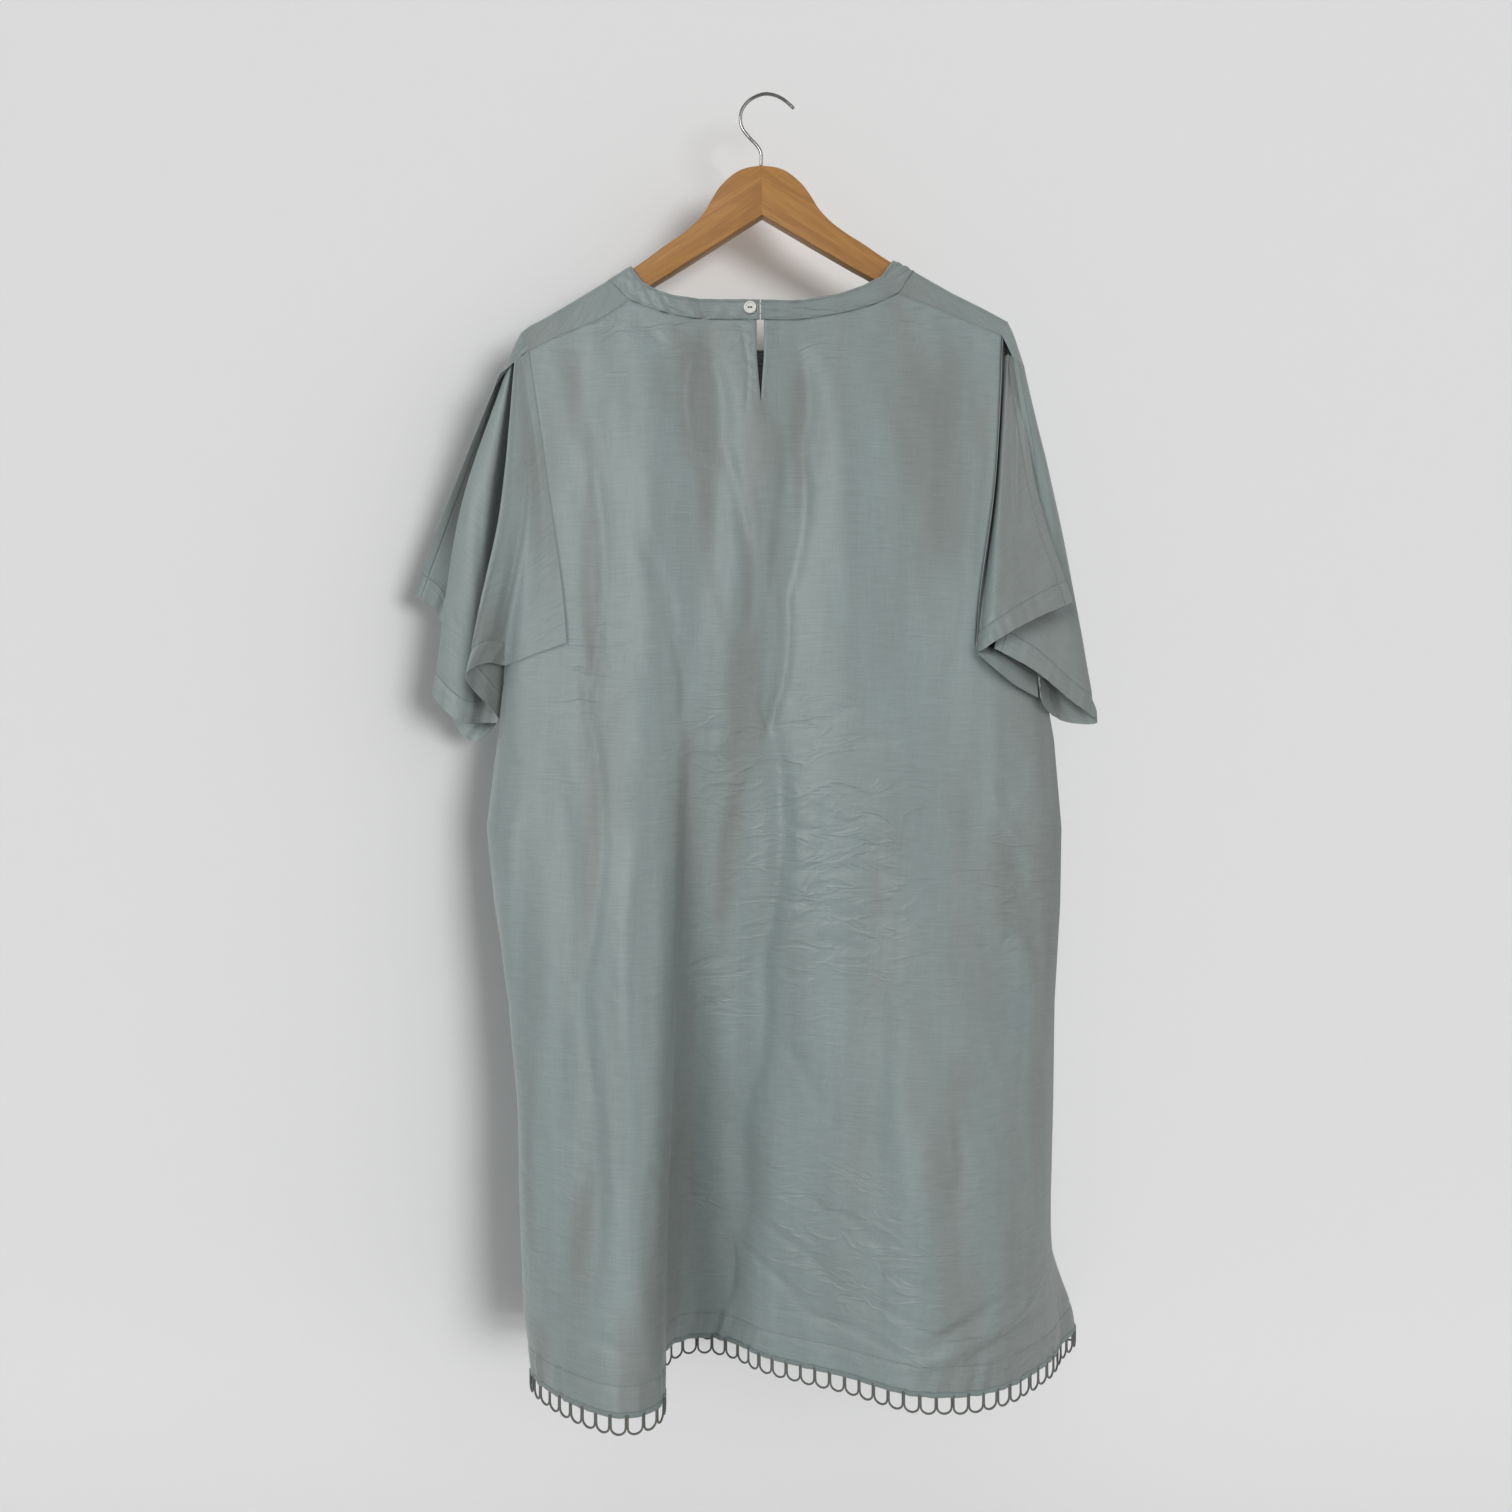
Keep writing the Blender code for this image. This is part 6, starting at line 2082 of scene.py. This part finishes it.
class DRESS_OT_button(bpy.types.Operator):
    """Build the button with its sewing thread, and the loop that it fastens in"""

    bl_idname = "dress.button"
    bl_label = "Button and loop"

    def execute(self, context):
        collection = dress_collection()
        x, z = BUTTON_AT
        back = band_face(x, z) + 0.02
        made = turned_button(x, back, z, collection)
        put_on(made, shell_material())
        as_piece(made, "button", "button")
        thread = cord_material("loop_thread", context.scene.dress_trim.thread_colour, 0.0003)
        dark = cord_material("button_thread", BUTTON_THREAD, 0.0003)
        bars = []
        for rise in (-0.02, 0.02):
            route = []
            for share in np.linspace(0, math.pi, 9):
                across = math.cos(share) * BUTTON_HOLE_SPACING / 2
                out = back - 0.09 - 0.085 * math.sin(share)
                route.append((x + across, out, z + rise))
            bars.append(tube(f"thread_bar_{len(bars)}", route, 0.022, dark, collection, sides=2))
        sewn = join(bars, "button_thread")
        put_on(sewn, dark)
        as_piece(sewn, "thread")
        route = [(px, band_face(px, pz) - LOOP_CORD_RADIUS, pz) for px, pz in LOOP_ROUTE]
        loop = tube("thread_loop", wire_points(route, 60), LOOP_CORD_RADIUS, thread, collection, sides=3)
        as_piece(loop, "thread", "button_loop")
        return {"FINISHED"}


def turned_button(x, back, z, collection):
    """A turned button with a raised rim, a dished middle and two holes."""
    thick = BUTTON_THICKNESS
    radius = BUTTON_RADIUS
    profile = []
    for share in np.linspace(0, 1, 7):
        profile.append(((radius - 0.2) * share, 0.150 + 0.012 * share**2))
    for turn in np.linspace(0, math.pi, 9)[1:]:
        profile.append((radius - 0.11 - 0.09 * math.cos(turn), 0.165 + (thick - 0.165) * math.sin(turn)))
    profile += [(radius, 0.12), (radius - 0.01, 0.07), (radius - 0.06, 0.02), (radius - 0.14, 0.0)]
    around = 48
    work = bmesh.new()
    rings = []
    for r, rise in profile[1:]:
        ring = []
        for k in range(around):
            turn = 2 * math.pi * k / around
            place = (x + r * math.cos(turn), back - rise, z + r * math.sin(turn))
            ring.append(work.verts.new(tuple(c * CM for c in place)))
        rings.append(ring)
    for first, second in zip(rings, rings[1:]):
        for k in range(around):
            n = (k + 1) % around
            work.faces.new((first[k], first[n], second[n], second[k]))
    work.faces.new(rings[0])
    work.faces.new(rings[-1])
    bmesh.ops.recalc_face_normals(work, faces=work.faces)
    made = linked("shell_button", closed_work("shell_button", work), collection)
    for side in (-1, 1):
        drill = bmesh.new()
        bmesh.ops.create_cone(
            drill,
            cap_ends=True,
            segments=20,
            radius1=BUTTON_HOLE_RADIUS * CM,
            radius2=BUTTON_HOLE_RADIUS * CM,
            depth=4 * thick * CM,
        )
        bmesh.ops.rotate(drill, verts=drill.verts, matrix=Matrix.Rotation(math.pi / 2, 3, "X"))
        place = Vector(((x + side * BUTTON_HOLE_SPACING / 2) * CM, back * CM, z * CM))
        bmesh.ops.translate(drill, verts=drill.verts, vec=place)
        cutter = linked("drill", closed_work("drill", drill), collection)
        cut = made.modifiers.new("hole", "BOOLEAN")
        cut.object = cutter
        made = settled(made)
        bpy.data.objects.remove(cutter, do_unlink=True)
    made.data.shade_smooth()
    made.data.set_sharp_from_angle(angle=math.radians(40))
    return made


class DRESS_OT_stage(bpy.types.Operator):
    """Set up the pale wall and floor, the light and the camera"""

    bl_idname = "dress.stage"
    bl_label = "Stage"

    def execute(self, context):
        scene = context.scene
        backdrop = sweep("backdrop")
        backdrop.data.materials.append(stage_material())
        for name, way, angle, strength, lit in LIGHTS:
            far_light(name, way, angle, strength, named_collection(lit))
        world = bpy.data.worlds.new("room")
        world.use_nodes = True
        world.node_tree.nodes["Background"].inputs["Color"].default_value = (1.0, 1.0, 1.0, 1.0)
        world.node_tree.nodes["Background"].inputs["Strength"].default_value = WORLD_STRENGTH
        scene.world = world
        lens = bpy.data.cameras.new("camera")
        lens.lens = CAMERA_LENS
        camera = bpy.data.objects.new("camera", lens)
        camera.location = CAMERA_AT
        camera.rotation_euler = (math.pi / 2, 0.0, 0.0)
        scene.collection.objects.link(camera)
        scene.camera = camera
        scene.view_settings.view_transform = "Standard"
        scene.view_settings.look = "None"
        return {"FINISHED"}


def sweep(name):
    """A wall that curves into a floor."""
    bend = 0.35
    profile = [(WALL_Y, 2.4)]
    for turn in np.linspace(0, math.pi / 2, 10):
        profile.append((WALL_Y - bend * (1 - math.cos(turn)), FLOOR_Z + bend * (1 - math.sin(turn))))
    profile.append((-5.0, FLOOR_Z))
    vertices = [(x, y, z) for x in (-4.0, 4.0) for y, z in profile]
    count = len(profile)
    faces = [(k, k + 1, count + k + 1, count + k) for k in range(count - 1)]
    mesh = bpy.data.meshes.new(name)
    mesh.from_pydata(vertices, [], faces)
    mesh.shade_smooth()
    return linked(name, mesh, named_collection("stage"))


def stage_material():
    """Pale paint that is seen only from its own side, so that views from behind pass through it."""
    made, tree, shader = new_material("stage_paint")
    shader.inputs["Base Color"].default_value = (0.80, 0.80, 0.80, 1.0)
    shader.inputs["Roughness"].default_value = 0.9
    shader.inputs["Specular IOR Level"].default_value = 0.1
    side = node(tree, "ShaderNodeNewGeometry")
    clear = node(tree, "ShaderNodeBsdfTransparent")
    ray = node(tree, "ShaderNodeLightPath")
    unseen = maths(tree, "MAXIMUM", side.outputs["Backfacing"], ray.outputs["Is Shadow Ray"])
    mixed = node(tree, "ShaderNodeMixShader", {0: unseen})
    tree.links.new(shader.outputs[0], mixed.inputs[1])
    tree.links.new(clear.outputs[0], mixed.inputs[2])
    tree.links.new(mixed.outputs[0], tree.nodes["Material Output"].inputs["Surface"])
    return made


def far_light(name, way, angle, strength, lit):
    """A soft light from far off that shines the given way, on one collection alone."""
    light = bpy.data.lights.new(name, "SUN")
    light.angle = math.radians(angle)
    light.energy = strength
    made = bpy.data.objects.new(name, light)
    made.rotation_euler = Vector(way).to_track_quat("-Z", "Y").to_euler()
    made.light_linking.receiver_collection = lit
    bpy.context.scene.collection.objects.link(made)
    return made


class DRESS_PT_panel(bpy.types.Panel):
    """Sidebar panel of the dress"""

    bl_label = "Tunic dress"
    bl_idname = "DRESS_PT_panel"
    bl_space_type = "VIEW_3D"
    bl_region_type = "UI"
    bl_category = "Dress"

    def draw(self, context):
        layout = self.layout
        for settings in (context.scene.dress, context.scene.dress_trim, context.scene.dress_hanger):
            box = layout.box()
            for key in settings.__annotations__:
                box.prop(settings, key)
        for operator in OPERATORS:
            layout.operator(operator.bl_idname)


OPERATORS = (
    DRESS_OT_panels,
    DRESS_OT_sleeves,
    DRESS_OT_neck_band,
    DRESS_OT_stitching,
    DRESS_OT_trim,
    DRESS_OT_hanger,
    DRESS_OT_button,
    DRESS_OT_stage,
)
CLASSES = (DressSettings, TrimSettings, HangerSettings, *OPERATORS, DRESS_PT_panel)


def register():
    for kind in CLASSES:
        bpy.utils.register_class(kind)
    bpy.types.Scene.dress = bpy.props.PointerProperty(type=DressSettings)
    bpy.types.Scene.dress_trim = bpy.props.PointerProperty(type=TrimSettings)
    bpy.types.Scene.dress_hanger = bpy.props.PointerProperty(type=HangerSettings)


def unregister():
    del bpy.types.Scene.dress
    del bpy.types.Scene.dress_trim
    del bpy.types.Scene.dress_hanger
    for kind in reversed(CLASSES):
        bpy.utils.unregister_class(kind)


def main():
    register()
    bpy.ops.dress.panels()
    bpy.ops.dress.sleeves()
    bpy.ops.dress.neck_band()
    bpy.ops.dress.stitching()
    bpy.ops.dress.trim()
    bpy.ops.dress.hanger()
    bpy.ops.dress.button()
    bpy.ops.dress.stage()


if __name__ == "__main__":
    main()
